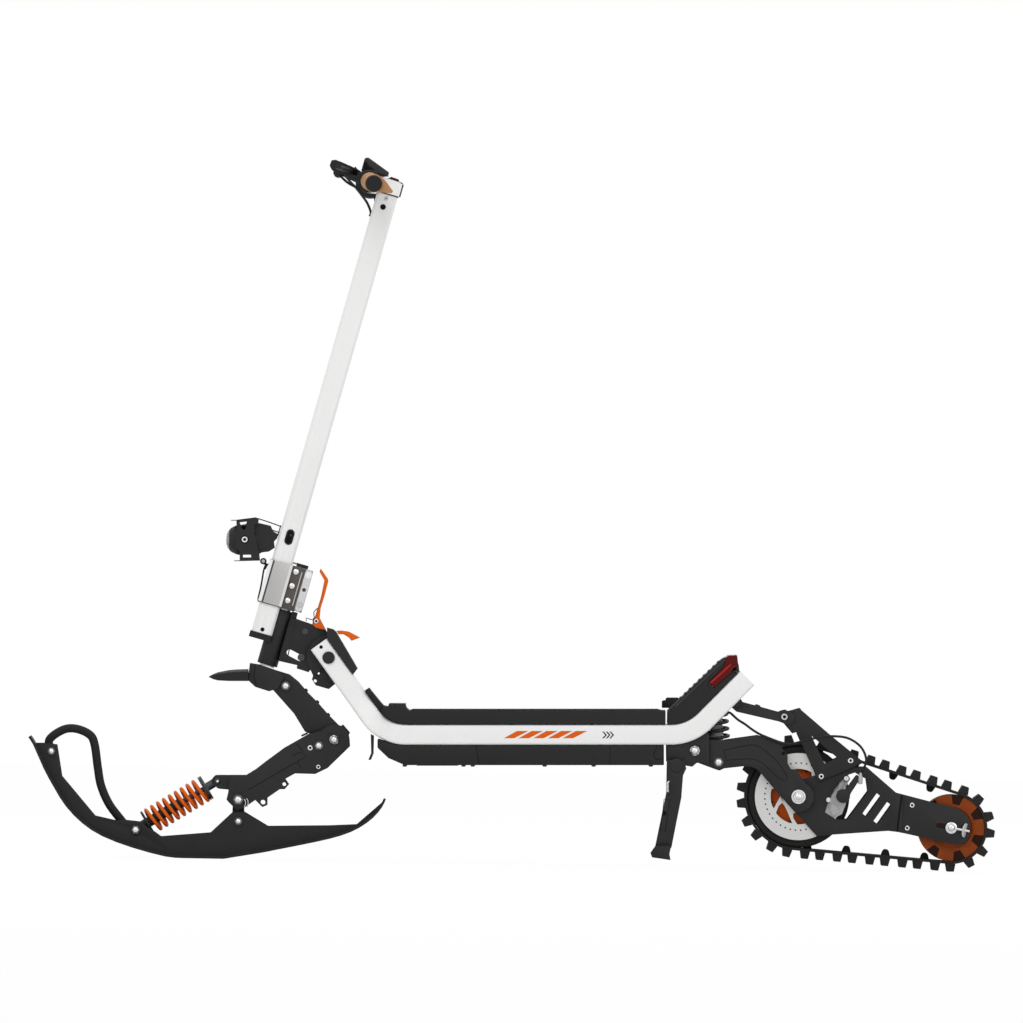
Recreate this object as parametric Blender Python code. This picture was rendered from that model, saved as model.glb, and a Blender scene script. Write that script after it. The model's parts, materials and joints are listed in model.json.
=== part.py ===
"""Electric snow scooter: a ski in front, a driven track behind, a folding stem.

Every size is in millimetres in the side drawing: X runs rearward, Y to the rider's
right, Z up. The drawing leans by STANCE, which sets the ski and the track on the ground.
Run it with: blender --background --python part.py
"""

from math import asin, atan2, ceil, cos, degrees, hypot, pi, radians, sin, tan

import bmesh
import bpy
from mathutils import Matrix, Vector

# Driving dimensions
MM = 0.001
GAP = 0.3
STANCE = radians(1.016)
CENTRE_SHIFT = 3.45

RAIL_Y = 85
RAIL_NECK_Y = 38
SPREAD_START = 85
SPREAD_LENGTH = 151
RAIL_WIDTH = 20
RAIL_HEIGHT = 37
RAIL_Z = 238
BEND_RADIUS = 88
FRONT_RADIUS = 80
FRONT_BEND = (-195, 318)
REAR_BEND = (291.5, 326)
NECK_END = (-355, 404)
TAIL_END = (432, 342.1)
NECK_TUBE = (-283, 302)
DECK_TOP = 282
DECK_FRONT = -193
DECK_REAR = 282
PAN_WALL = 3
DECK_HALF = 95
CASE_HALF = 92

FOLD = (-337, 379)
STEER = (-437.5, 411)
RAKE = radians(16)
STEM_FRONT = -45
STEM_REAR = -6
STEM_HALF = 25
STEM_TOP = 846
STEM_WALL = 2.5
BRACKET_HALF = 20
BAR = (-63, 858)
BAR_HALF = 310
BAR_RADIUS = 11.1
BAR_ROOM = 11.4
GRIP_START = 178

LATCH_PIVOT = (-296, 366)
LEVER_PIVOT = (-360, 446)
LAMP_PIVOT = (-103, 163)
BRAKE_PIVOT = (-100, 866)
BRAKE_PIVOT_Y = 128

KNEE = (-327, 228)
BOLT_ROOM = 6.3
SKI_PIVOT = (-503.4, 117.4)
SHOCK_TOP = (-542, 152)
SHOCK_FOOT = (-692, 62)
SKI_HALF = 55
SKI_THICKNESS = 4.5
RIB_INNER = 30
RIB_OUTER = 36

SWING_PIVOT = (335.6, 208.5)
SWING_SHOCK = (379.4, 187.3)
REAR_SHOCK_TOP = (372, 296)
LINK_FRONT = (411.2, 297.2)
LINK_REAR = (500.3, 270.5)
STAND_PIVOT = (302, 181)

AXLE = (526.2, 123.8)
IDLER_X = 807.2
DRIVE_RADIUS = 94
IDLER_RADIUS = 61.5
BELT_THICKNESS = 5
LUG_HEIGHT = 14
BELT_HALF = 48
OUTER_LUGS = 36
LUG_SHARE = 0.46
GUIDE_LUGS = 15
DISC_RADIUS = 80
DISC_WINDOWS = 7
CALIPER = (608, 125)
IDLER_TIP = IDLER_RADIUS + BELT_THICKNESS + LUG_HEIGHT

SPRING_RADIUS = 22
SPRING_WIRE = 6.3
COIL_POINTS = 8

BLACK = ((0.028, 0.028, 0.028), 0.45, 0.0)
RUBBER = ((0.02, 0.02, 0.02), 0.75, 0.0)
WHITE = ((0.80, 0.80, 0.79), 0.35, 0.0)
ORANGE = ((0.72, 0.16, 0.05), 0.4, 0.0)
RUST = ((0.36, 0.09, 0.03), 0.5, 0.0)
SILVER = ((0.62, 0.62, 0.62), 0.28, 1.0)
BRIGHT = ((0.82, 0.82, 0.82), 0.15, 1.0)
TAN = ((0.45, 0.24, 0.10), 0.7, 0.0)
RED = ((0.25, 0.02, 0.02), 0.25, 0.0)
LENS = ((0.75, 0.78, 0.80), 0.08, 0.0)

BODIES = {}


# Outlines and small sums


def on_ground(x, height=0):
    """Drawing height of a point that stands the given height above the ground."""
    return (height - x * sin(STANCE)) / cos(STANCE)


IDLER = (IDLER_X, on_ground(IDLER_X, IDLER_TIP))


def steer_point(a, s):
    """Side-drawing point of a place a behind the steering axis and s up along it."""
    return (
        STEER[0] + a * cos(RAKE) + s * sin(RAKE),
        STEER[1] - a * sin(RAKE) + s * cos(RAKE),
    )


def arc(centre, radius, start, end, steps):
    """Points on a circle; the angles are in degrees from +X towards +Z."""
    turn = [radians(start + (end - start) * i / steps) for i in range(steps + 1)]
    return [(centre[0] + radius * cos(t), centre[1] + radius * sin(t)) for t in turn]


def circle(centre, radius, sides=20):
    """A closed ring of points."""
    return arc(centre, radius, 0, 360 - 360 / sides, sides - 1)


def capsule(start, end, radius, steps=6):
    """A slot with round ends between two centres."""
    lean = degrees(atan2(end[1] - start[1], end[0] - start[0]))
    far = arc(end, radius, lean - 90, lean + 90, steps)
    return far + arc(start, radius, lean + 90, lean + 270, steps)


def rounded(*corners):
    """An outline whose corners (x, z, radius) become arcs; (x, z) stays sharp."""
    points = []
    for index, corner in enumerate(corners):
        here = Vector(corner[:2])
        if len(corner) == 2:
            points.append(tuple(here))
            continue
        before = (Vector(corners[index - 1][:2]) - here).normalized()
        after = (Vector(corners[(index + 1) % len(corners)][:2]) - here).normalized()
        half = before.angle(after) / 2
        centre = here + (before + after).normalized() * corner[2] / sin(half)
        first = here + before * corner[2] / tan(half) - centre
        last = here + after * corner[2] / tan(half) - centre
        start = atan2(first.y, first.x)
        turn = (atan2(last.y, last.x) - start + pi) % (2 * pi) - pi
        steps = ceil(abs(turn) / radians(95 if corner[2] < 5 else 50))
        points += arc(centre, corner[2], degrees(start), degrees(start + turn), steps)
    return points


def smooth(points, steps=4):
    """A Catmull-Rom curve through the points, which may be flat or in space."""
    knots = [Vector(p) for p in points]
    knots = [2 * knots[0] - knots[1], *knots, 2 * knots[-1] - knots[-2]]
    curve = []
    for p, q, r, s in zip(knots, knots[1:], knots[2:], knots[3:]):
        for step in range(steps):
            t = step / steps
            bend = (2 * p - 5 * q + 4 * r - s) * t**2 + (3 * q - p - 3 * r + s) * t**3
            curve.append(tuple((2 * q + (r - p) * t + bend) / 2))
    curve.append(tuple(knots[-2]))
    return curve


def offset(points, distance):
    """The same run of points moved sideways, to the left of its direction."""
    shifted = []
    for index, (x, z) in enumerate(points):
        before = points[max(index - 1, 0)]
        after = points[min(index + 1, len(points) - 1)]
        share = distance / hypot(after[0] - before[0], after[1] - before[1])
        shifted.append((x + share * (before[1] - after[1]), z + share * (after[0] - before[0])))
    return shifted


def band(points, low, high):
    """A closed strip between two sideways distances from a run of points."""
    return offset(points, low) + offset(points, high)[::-1]


# Solids, as bmeshes in drawing millimetres


def plate(outline, y_low, y_high, holes=()):
    """A flat outline with holes, drawn out from one Y to another."""
    bm = bmesh.new()
    edges = []
    for loop in (outline, *holes):
        ring = [bm.verts.new((p[0], y_low, p[1])) for p in loop]
        edges += [bm.edges.new((ring[i - 1], ring[i])) for i in range(len(ring))]
    bmesh.ops.triangle_fill(bm, use_beauty=True, use_dissolve=False, edges=edges)
    drawn = bmesh.ops.extrude_face_region(bm, geom=bm.faces[:])["geom"]
    far_side = [part for part in drawn if isinstance(part, bmesh.types.BMVert)]
    bmesh.ops.translate(bm, verts=far_side, vec=(0, y_high - y_low, 0))
    bmesh.ops.recalc_face_normals(bm, faces=bm.faces[:])
    return bm


def turned(profile, sides=16, ring=False):
    """A profile of (radius, height) turned about Z; ring closes it round a bore."""
    bm = bmesh.new()
    rows = []
    for radius, height in profile:
        if radius == 0:
            rows.append([bm.verts.new((0, 0, height))] * sides)
            continue
        turn = [2 * pi * i / sides for i in range(sides)]
        rows.append([bm.verts.new((radius * cos(t), radius * sin(t), height)) for t in turn])
    pairs = list(zip(rows, rows[1:]))
    if ring:
        pairs.append((rows[-1], rows[0]))
    for low, high in pairs:
        for i in range(sides):
            j = (i + 1) % sides
            face = list(dict.fromkeys((low[i], low[j], high[j], high[i])))
            if len(face) > 2:
                bm.faces.new(face)
    bmesh.ops.recalc_face_normals(bm, faces=bm.faces[:])
    return bm


def side_plate(outline, near, far, side, holes=()):
    """A plate between two distances from the middle, on one side of it (1 or -1)."""
    low, high = sorted((near * side, far * side))
    return plate(outline, low, high, holes)


def box(low, high):
    """A block between two corners."""
    corners = [(low[0], low[2]), (high[0], low[2]), (high[0], high[2]), (low[0], high[2])]
    return plate(corners, low[1], high[1])


def moved(bm, matrix):
    """The bmesh after a move or a turn."""
    bm.transform(matrix)
    return bm


def across(centre, profile, sides=16, ring=False):
    """A turned piece whose axis runs along Y through a side-drawing point."""
    lean = Matrix.Rotation(-pi / 2, 4, "X")
    place = Matrix.Translation((centre[0], 0, centre[1])) @ lean
    return moved(turned(profile, sides, ring), place)


def pin(centre, radius, y_low, y_high, sides=12):
    """A plain cylinder along Y."""
    return across(centre, [(0, y_low), (radius, y_low), (radius, y_high), (0, y_high)], sides)


def bolt(centre, shank, head, grip, head_height, sides=8):
    """A through bolt along Y, with a head on each side of its grip."""
    end = grip + head_height
    profile = [(0, -end), (head * 0.6, -end), (head, -grip - head_height * 0.45), (head, -grip)]
    profile += [(shank, -grip), (shank, grip), (head, grip), (head, grip + head_height * 0.45)]
    return across(centre, [*profile, (head * 0.6, end), (0, end)], sides)


def along(start, end, profile, sides=12, ring=False):
    """A turned piece whose axis runs from one point in space towards another."""
    line = Vector(end) - Vector(start)
    place = Matrix.Translation(start) @ line.to_track_quat("Z", "Y").to_matrix().to_4x4()
    return moved(turned(profile, sides, ring), place)


def sweep(path, section):
    """A section of (sideways, y) points carried along a run of (x, y, z) points."""
    bm = bmesh.new()
    flat = [(p[0], p[2]) for p in path]
    rows = []
    for index, (x, y, z) in enumerate(path):
        before = Vector(flat[max(index - 1, 0)])
        after = Vector(flat[min(index + 1, len(flat) - 1)])
        run = (after - before).normalized()
        row = [bm.verts.new((x - run.y * a, y + b, z + run.x * a)) for a, b in section]
        rows.append(row)
    for low, high in zip(rows, rows[1:]):
        for i in range(len(section)):
            bm.faces.new((low[i - 1], low[i], high[i], high[i - 1]))
    bm.faces.new(rows[0])
    bm.faces.new(rows[-1])
    bmesh.ops.recalc_face_normals(bm, faces=bm.faces[:])
    return bm


def tube(path, radius, sides=10):
    """A round bar along points in space, each ring square to the run there."""
    bm = bmesh.new()
    points = [Vector(p) for p in path]
    side = Vector((0, 1, 0))
    rows = []
    for index, point in enumerate(points):
        run = (points[min(index + 1, len(points) - 1)] - points[max(index - 1, 0)]).normalized()
        side = (side - run * side.dot(run)).normalized()
        other = run.cross(side)
        turn = [2 * pi * i / sides for i in range(sides)]
        rows.append([bm.verts.new(point + (side * cos(t) + other * sin(t)) * radius) for t in turn])
    for low, high in zip(rows, rows[1:]):
        for i in range(sides):
            bm.faces.new((low[i - 1], low[i], high[i], high[i - 1]))
    bm.faces.new(rows[0])
    bm.faces.new(rows[-1])
    bmesh.ops.recalc_face_normals(bm, faces=bm.faces[:])
    return bm


def together(*parts):
    """Several bmeshes that don't touch each other, as one."""
    whole = bmesh.new()
    for part in parts:
        sheet = bpy.data.meshes.new("loose")
        part.to_mesh(sheet)
        whole.from_mesh(sheet)
        bpy.data.meshes.remove(sheet)
    return whole


# Objects, bodies and materials


def material(name, look):
    """A Principled material of one colour, roughness and metallic value."""
    colour, roughness, metallic = look
    made = bpy.data.materials.new(name)
    made.use_nodes = True
    shader = made.node_tree.nodes["Principled BSDF"]
    shader.inputs["Base Color"].default_value = (*colour, 1)
    shader.inputs["Roughness"].default_value = roughness
    shader.inputs["Metallic"].default_value = metallic
    return made


def body(name, parent, centre, y=0):
    """An empty on a moving body's joint axis; its pieces hang on it."""
    empty = bpy.data.objects.new(name + "_pivot", None)
    bpy.context.collection.objects.link(empty)
    place = Vector((centre[0], y, centre[1]))
    base = Vector()
    if parent:
        empty.parent, base = BODIES[parent]
    empty.location = (place - base) * MM
    BODIES[name] = (empty, place)


def linked(name, data, owner):
    """An object that hangs on its body's empty."""
    thing = bpy.data.objects.new(name, data)
    bpy.context.collection.objects.link(thing)
    thing.parent = BODIES[owner][0]
    return thing


def solid(name, bm, owner):
    """A mesh object from a bmesh in drawing millimetres."""
    bm.transform(Matrix.Scale(MM, 4) @ Matrix.Translation(-BODIES[owner][1]))
    mesh = bpy.data.meshes.new(name)
    bm.to_mesh(mesh)
    bm.free()
    return linked(name, mesh, owner)


def add(bm):
    """A change for make: join this shape on."""
    return "UNION", bm


def cut(bm):
    """A change for make: take this shape away."""
    return "DIFFERENCE", bm


def make(name, owner, look, base, *changes):
    """One sub-part: a base shape, then shapes joined on or cut out, in order."""
    thing = solid(name, base, owner)
    thing.data.materials.append(material(name, look))
    for count, (operation, bm) in enumerate(changes, 1):
        helper = solid(f"{name}_{operation.lower()}_{count}", bm, owner)
        helper.hide_render = True
        helper.display_type = "WIRE"
        change = thing.modifiers.new(helper.name, "BOOLEAN")
        change.operation = operation
        change.solver = "EXACT"
        change.object = helper
    thing.data.shade_smooth()
    thing.data.set_sharp_from_angle(angle=radians(35))
    return thing


def wire(name, owner, look, points, radius, resolution):
    """A round bar as a curve object with filled caps."""
    curve = bpy.data.curves.new(name, "CURVE")
    curve.dimensions = "3D"
    curve.bevel_depth = radius * MM
    curve.bevel_resolution = resolution
    curve.use_fill_caps = True
    spline = curve.splines.new("POLY")
    spline.points.add(len(points) - 1)
    for knot, point in zip(spline.points, points):
        knot.co = (*((Vector(point) - BODIES[owner][1]) * MM), 1)
    curve.materials.append(material(name, look))
    return linked(name, curve, owner)


def coil(name, owner, look, start, end, first, last, turns):
    """A coil spring between two distances along the line from start to end."""
    run = (Vector(end) - Vector(start)).normalized()
    side = Vector((0, 1, 0))
    other = run.cross(side)
    steps = round(turns * COIL_POINTS)
    points = []
    for step in range(steps + 1):
        turn = 2 * pi * step / COIL_POINTS
        rise = first + (last - first) * step / steps
        ring = (side * cos(turn) + other * sin(turn)) * SPRING_RADIUS
        points.append(Vector(start) + run * rise + ring)
    last_turn = 2 * pi * steps / COIL_POINTS
    points.insert(0, points[0] - other * SPRING_WIRE)
    leave = other * cos(last_turn) - side * sin(last_turn)
    points.append(points[-1] + leave * SPRING_WIRE)
    near = COIL_POINTS // 2
    pairs = [(p - q).length for i, p in enumerate(points) for q in points[i + near :]]
    print(f"{name}: least gap to itself {min(pairs) - SPRING_WIRE:.1f} mm")
    return wire(name, owner, look, points, SPRING_WIRE / 2, 1)


def steering(bm):
    """Moves a shape drawn in steering axes (a, y, s) into the side drawing."""
    place = Matrix.Translation((STEER[0], 0, STEER[1]))
    return moved(bm, place @ Matrix.Rotation(RAKE, 4, "Y"))


def steer_plate(outline, y_low, y_high, holes=()):
    """A plate drawn in steering axes."""
    return steering(plate(outline, y_low, y_high, holes))


def steer_turned(a, profile, sides=16, ring=False):
    """A piece turned about a line along the steering axis, a behind it."""
    return steering(moved(turned(profile, sides, ring), Matrix.Translation((a, 0, 0))))


def bar_turned(profile, sides=14, ring=False):
    """A piece turned about the handlebar's line."""
    return steering(across(BAR, profile, sides, ring))


def steer_prism(outline, s_low, s_high):
    """An (a, y) outline drawn out along the steering axis."""
    flat = plate([(a, -y) for a, y in outline], s_low, s_high)
    return steering(moved(flat, Matrix.Rotation(pi / 2, 4, "X")))


def clear_scene():
    """Takes the start-up scene's objects away."""
    for thing in list(bpy.data.objects):
        bpy.data.objects.remove(thing)


def set_bodies():
    """The moving bodies, each an empty on its joint's axis, under the stance."""
    body("deck", None, (0, 0))
    stance = BODIES["deck"][0]
    stance.location.x = CENTRE_SHIFT * MM
    stance.rotation_euler.y = -STANCE
    body("latch", "deck", LATCH_PIVOT)
    body("stand", "deck", STAND_PIVOT)
    body("front", "deck", FOLD)
    body("fold_lever", "front", LEVER_PIVOT)
    body("steer", "front", STEER)
    body("lamp", "steer", steer_point(*LAMP_PIVOT))
    body("brake_left", "steer", steer_point(*BRAKE_PIVOT), -BRAKE_PIVOT_Y)
    body("brake_right", "steer", steer_point(*BRAKE_PIVOT), BRAKE_PIVOT_Y)
    body("throttle", "steer", steer_point(*BAR))
    body("button", "steer", steer_point(-21, 876))
    body("arm", "steer", KNEE)
    body("rod", "arm", SHOCK_TOP)
    body("ski", "arm", SKI_PIVOT)
    body("damper", "ski", SHOCK_FOOT)
    body("swing", "deck", SWING_PIVOT)
    body("track", "swing", AXLE)
    body("drive", "track", AXLE)
    body("idler", "track", IDLER)
    body("caliper_arm", "track", CALIPER)
    body("link", "deck", LINK_FRONT)


# Deck


def rail_path(side):
    """Centre line of one rail: neck, front bend, deck, rear bend, tail."""
    flat = [NECK_END, (-324, 360.9), (-292, 316.2)]
    flat += arc(FRONT_BEND, FRONT_RADIUS, 215.6, 270, 5)
    flat += arc(REAR_BEND, BEND_RADIUS, 270, 315, 5)
    flat.append(TAIL_END)
    path = []
    gone = 0
    for index, point in enumerate(flat):
        if index:
            gone += hypot(point[0] - flat[index - 1][0], point[1] - flat[index - 1][1])
        blend = min(max((gone - SPREAD_START) / SPREAD_LENGTH, 0), 1)
        spread = RAIL_NECK_Y + (RAIL_Y - RAIL_NECK_Y) * blend**2 * (3 - 2 * blend)
        path.append((point[0], side * spread, point[1]))
    return path


def rail(side):
    """One bent rail of rounded rectangular tube."""
    half = RAIL_HEIGHT / 2
    corners = [(half * i, RAIL_WIDTH / 2 * j, 5) for i, j in ((1, 1), (-1, 1), (-1, -1), (1, -1))]
    return sweep(rail_path(side), rounded(*corners))


def make_deck_frame():
    ear_edge = [(-303, 300), (-284, 298), (-284, 312), (-294, 322), (-294, 360), (-291, 364), (-291, 369),
                (-301, 371), (-303, 365)]
    ear = plate(ear_edge, -8, 8)
    line = Vector((REAR_SHOCK_TOP[0] - SWING_SHOCK[0], 0, REAR_SHOCK_TOP[1] - SWING_SHOCK[1]))
    top = Vector((REAR_SHOCK_TOP[0], 0, REAR_SHOCK_TOP[1]))
    seat = along(top, top - line, [(0, 0), (8, 0), (8, 12), (26, 12), (26, 15.5), (12, 15.5), (12, 30),
                                   (0, 30)])
    tubes = [pin((x, RAIL_Z), 12, -80, 80, 10) for x in (-180, 0, 270)]
    tubes.append(pin(NECK_TUBE, 12, -40, 40, 10))
    tubes.append(pin(LATCH_PIVOT, 3.2, -45, 45, 12))
    tubes.append(pin(LINK_FRONT, 9, -80, 80))
    tubes.append(pin(REAR_SHOCK_TOP, 8, -80, 80))
    changes = [add(rail(1))] + [add(part) for part in (*tubes, ear, seat)]
    make("deck_frame", "deck", WHITE, rail(-1), *changes, cut(pin(FOLD, BOLT_ROOM, -60, 60)))


def make_deck_pan():
    low = RAIL_Z + RAIL_HEIGHT / 2 + 0.8
    lip = [*arc(FRONT_BEND, 60.8, 250, 215.6, 2), (-269.8, 319), (-262.8, 323.5), (-244.5, 301),
           (-236, 291), (-222, 288)]
    nose = [(-229, 268.2), (-215, 261), (-200, 257.8), (-188.8, 257.6), (-189.3, 283), (-194, 287),
            (-196, 294.7)]
    nose += [(-226, 294.7), (-228, 288.3), (-236, 291), (-240, 279)]
    tray = [(DECK_FRONT, low), (DECK_REAR, low), (DECK_REAR, DECK_TOP), (DECK_FRONT, DECK_TOP)]
    hollow_low = (DECK_FRONT + 2 * PAN_WALL, -CASE_HALF, low - 5)
    hollow = box(hollow_low, (DECK_REAR - PAN_WALL, CASE_HALF, DECK_TOP - PAN_WALL))
    make("deck_pan", "deck", BLACK, plate(tray, -DECK_HALF, DECK_HALF), cut(hollow),
         add(plate(nose, -DECK_HALF, DECK_HALF)), add(plate(lip, -66, 66)))


def make_case():
    top = RAIL_Z - RAIL_HEIGHT / 2 - GAP
    outer = [(-247, 214), (-247, 229.5), (-226, 222.6), (-206, top), (279, top), (279, 182), (-197, 182),
             (-227, 195)]
    inner = [(-243, 216), (-243, top + 15), (276, top + 15), (276, 185), (-196, 185), (-225, 197)]
    make("battery_case", "deck", BLACK, plate(outer, -CASE_HALF, CASE_HALF),
         cut(plate(inner, 3 - CASE_HALF, CASE_HALF - 3)))
    make("battery_pack", "deck", BLACK, box((-190, -84, 185.3), (90, 84, 215)))
    make("motor_controller", "deck", SILVER, box((110, -60, 185.3), (240, 60, 212)))


def make_latch():
    strip = [(-340, 434), (-329, 431), (-324, 427), (-284, 359), (-290, 353), (-337, 420)]
    between = [(-345, 395), (-345, 440), (-280, 440), (-280, 367), (-289, 366), (-291.3, 361),
               (-291.3, 340), (-310, 340)]
    make("latch_bar", "latch", BLACK, plate(strip, -46, 46), cut(plate(between, -27, 27)),
         cut(pin(LATCH_PIVOT, 3.6, -50, 50, 12)))
    tab = [(-323, 428.6), (-313, 429), (-300, 427), (-279, 416), (-295, 410), (-300, 416), (-310, 422),
           (-319, 422)]
    make("latch_tab", "latch", ORANGE, plate(tab, -46, -27))
    make("fold_pivot_bolt", "deck", BLACK, bolt(FOLD, 6, 11.4, 48.3, 5))


def make_footrest():
    under = arc(REAR_BEND, 69.1, 265, 315, 5) + [(415, 351.7), (403, 351)]
    lamp_slot = [(370, 323.5), (362, 336.5), (388, 361.5)]
    top = [(392, 380), (384, 375, 8), (286, DECK_TOP, 3)]
    hollow = [(291, 240), (291, 279), (352, 336), (362, 318), (362, 240)]
    block = rounded((276, 286), (298, 286), (309, 297), (309, 303), (305, 305), (283, 305, 2), (283, 300),
                    (276, 300, 2))
    make("rear_footrest", "deck", BLACK, plate(rounded(*under, *lamp_slot, *top), -DECK_HALF, DECK_HALF),
         cut(plate(hollow, -90, 90)), add(plate(block, 30, 70)))
    lens = [(370.4, 324.2), (362.6, 336.3), (388.4, 361.2), (392.6, 380), (398, 383), (412, 383.4),
            (416, 366), (414.6, 358), (402.8, 351.6)]
    make("tail_light", "deck", RED, plate(lens, -94, 94))


def make_rear_bracket():
    bend = arc(REAR_BEND, 106.9, 270, 309, 5)
    foot = [(362, 238), (362, 182), (348, 187), (339, 186), (331, 179), (284, 187), (283.5, 219.1)]
    cheek = bend + foot
    joint = box((284.5, -83, 190), (290, 83, 218))
    ear = pin(STAND_PIVOT, 12, -86, -81)
    make("rear_bracket", "deck", BLACK, plate(cheek, -86, -81), add(plate(cheek, 81, 86)),
         add(joint), add(ear), cut(pin(SWING_PIVOT, BOLT_ROOM, -90, 90)),
         cut(pin(STAND_PIVOT, 5.3, -90, -78)))
    make("swingarm_pin", "deck", BRIGHT, bolt(SWING_PIVOT, 6, 9.5, 86.3, 5))


def make_kickstand():
    leg = [(284, 192), (283, 131), (263, 34), (254, 21), (257, 13), (291, 8), (289, 19), (311, 125),
           (314, 163), (320, 176), (316, 190)]
    foot = [(263, 34), (254, 21), (257, 13), (291, 8), (289, 19), (291, 34)]
    pivot = across(STAND_PIVOT, [(0, -98), (5, -98), (5, -80.5), (0, -80.5)], 14)
    make("kickstand", "stand", BLACK, plate(leg, -99, -87), add(plate(foot, -110, -90)), add(pivot))


def make_brake_cable():
    route = [(390, -71, 277), (400, -71, 278), (414, -74, 266), (428, -80, 257), (446, -84, 244)]
    route += [(466, -84, 234), (505, -84, 221), (534, -84, 226), (564, -84, 233), (592, -84, 235)]
    route += [(618, -84, 231), (640, -84, 216), (650, -84, 195), (647, -84, 178), (640, -84, 166)]
    wire("brake_cable", "deck", RUBBER, smooth(route, 2), 2.2, 2)


# Neck and steering


def make_neck():
    edge = [(-409, 449), (-396, 450), (-367, 440), (-366, 452), (-354, 452), (-341, 427), (-318, 400),
            (-312, 372), (-314, 345)]
    edge += [(-327, 329), (-337, 321), (-361, 328), (-368, 339), (-366, 346), (-371, 357), (-374, 352),
             (-396, 359), (-395, 365), (-430, 373)]
    holes = [capsule((-409, 388), (-390, 378), 5.9), circle((-356, 350), 2.4, 8),
             circle((-362, 336), 3.1, 8)]
    ear_pin = pin(LEVER_PIVOT, 3, -26, 26, 12)
    socket = steer_turned(0, [(0, -70), (19.3, -70), (19.3, 70), (0, 70)], 24)
    make("fold_bracket", "front", BLACK, plate(edge, -BRACKET_HALF, BRACKET_HALF, holes), add(ear_pin),
         cut(pin(FOLD, BOLT_ROOM, -30, 30)), cut(socket))
    tube_profile = [(16.5, -47), (19, -47), (19, 58), (16.5, 58)]
    ear = steer_plate([(17, 50.5), (28, 50.5), (28, 60), (17, 60)], -14, 14)
    make("head_tube", "front", BLACK, steer_turned(0, tube_profile, 24, True), add(ear))
    for name, low in (("headset_bearing_lower", -47), ("headset_bearing_upper", 50)):
        ring = [(14.3, low), (16.2, low), (16.2, low + 8), (14.3, low + 8)]
        make(name, "front", BRIGHT, steer_turned(0, ring, 20, True))


def make_fold_lever():
    edge = [(-352, 543), (-339, 524), (-338, 519), (-346, 489), (-352, 471), (-354, 452), (-343, 429.5)]
    edge += [(-361, 434), (-366, 439), (-363, 452), (-352, 488), (-345, 521), (-354, 537)]
    make("fold_lever", "fold_lever", ORANGE, plate(edge, -26, 26),
         cut(box((-380, -20.4, 420), (-330, 20.4, 462))), cut(pin(LEVER_PIVOT, 3.3, -30, 30, 12)))


def make_stem():
    front, rear = STEM_FRONT, STEM_REAR
    half, wall = STEM_HALF, STEM_WALL
    shell = steer_prism(rounded((front, half, 4), (rear, half, 4), (rear, -half, 4), (front, -half, 4)), 6,
                        STEM_TOP)
    inside = steer_prism(rounded((front + wall, half - wall, 2), (rear - wall, half - wall, 2),
                                 (rear - wall, wall - half, 2), (front + wall, wall - half, 2)), 0,
                                 STEM_TOP + 5)
    back = steer_prism([(rear - 8, 20), (rear + 5, 20), (rear + 5, -20), (rear - 8, -20)], 0, 143)
    drill = moved(turned([(0, -40), (4, -40), (4, 40), (0, 40)], 12), Matrix.Rotation(pi / 2, 4, "X"))
    drill = steering(moved(drill, Matrix.Translation((-26, 0, 13))))
    make("stem", "steer", WHITE, shell, cut(inside), cut(back), cut(drill))
    tube_profile = [(11, -49.7), (14, -49.7), (14, 140), (11, 140)]
    make("steerer_tube", "steer", SILVER, steer_turned(0, tube_profile, 20, True))


def make_collar():
    outer = steer_prism(rounded((-48, 29, 4), (-4, 29), (-4, 21), (20, 21), (20, 27, 2), (34, 27, 3),
                                (34, -27, 3), (20, -27, 2), (20, -21), (-4, -21), (-4, -29),
                                (-48, -29, 4)), 62, 142)
    flange = steer_turned(8, [(0, 140), (15, 140), (15, 148), (0, 148)], 24)
    stem_room = steer_prism([(-45.3, 25.3), (-5.7, 25.3), (-5.7, -25.3), (-45.3, -25.3)], 50, 160)
    bore = steer_turned(0, [(0, 50), (14.3, 50), (14.3, 145), (0, 145)], 20)
    make("stem_collar", "steer", SILVER, outer, add(flange), cut(stem_room), cut(bore))


def make_clamp():
    base = steer_plate([(-46, 846.3), (-4, 846.3), (-4, 871), (-12, 873), (-38, 874), (-63, 877),
                        (-76, 871), (-82, 858), (-76, 845), (-63, 839), (-46, 841)], -26, 26)
    pocket = steering(box((-30.5, -9, 868.8), (-11.5, 9, 900)))
    make("handlebar_clamp", "steer", WHITE, base,
         cut(bar_turned([(0, -40), (16.2, -40), (16.2, 40), (0, 40)], 20)), cut(pocket))
    button = rounded((-30, 870.8), (-12, 870.8), (-12, 878, 2), (-30, 879, 2))
    make("power_button", "button", RED, steer_plate(button, -8.5, 8.5))
    make_screen()


def make_screen():
    case = rounded((-84, 878), (-34, 878), (-33, 885, 2), (-80, 902, 4), (-84, 897, 2))
    make("display", "steer", BLACK, steer_plate(case, -32, 32))


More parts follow.
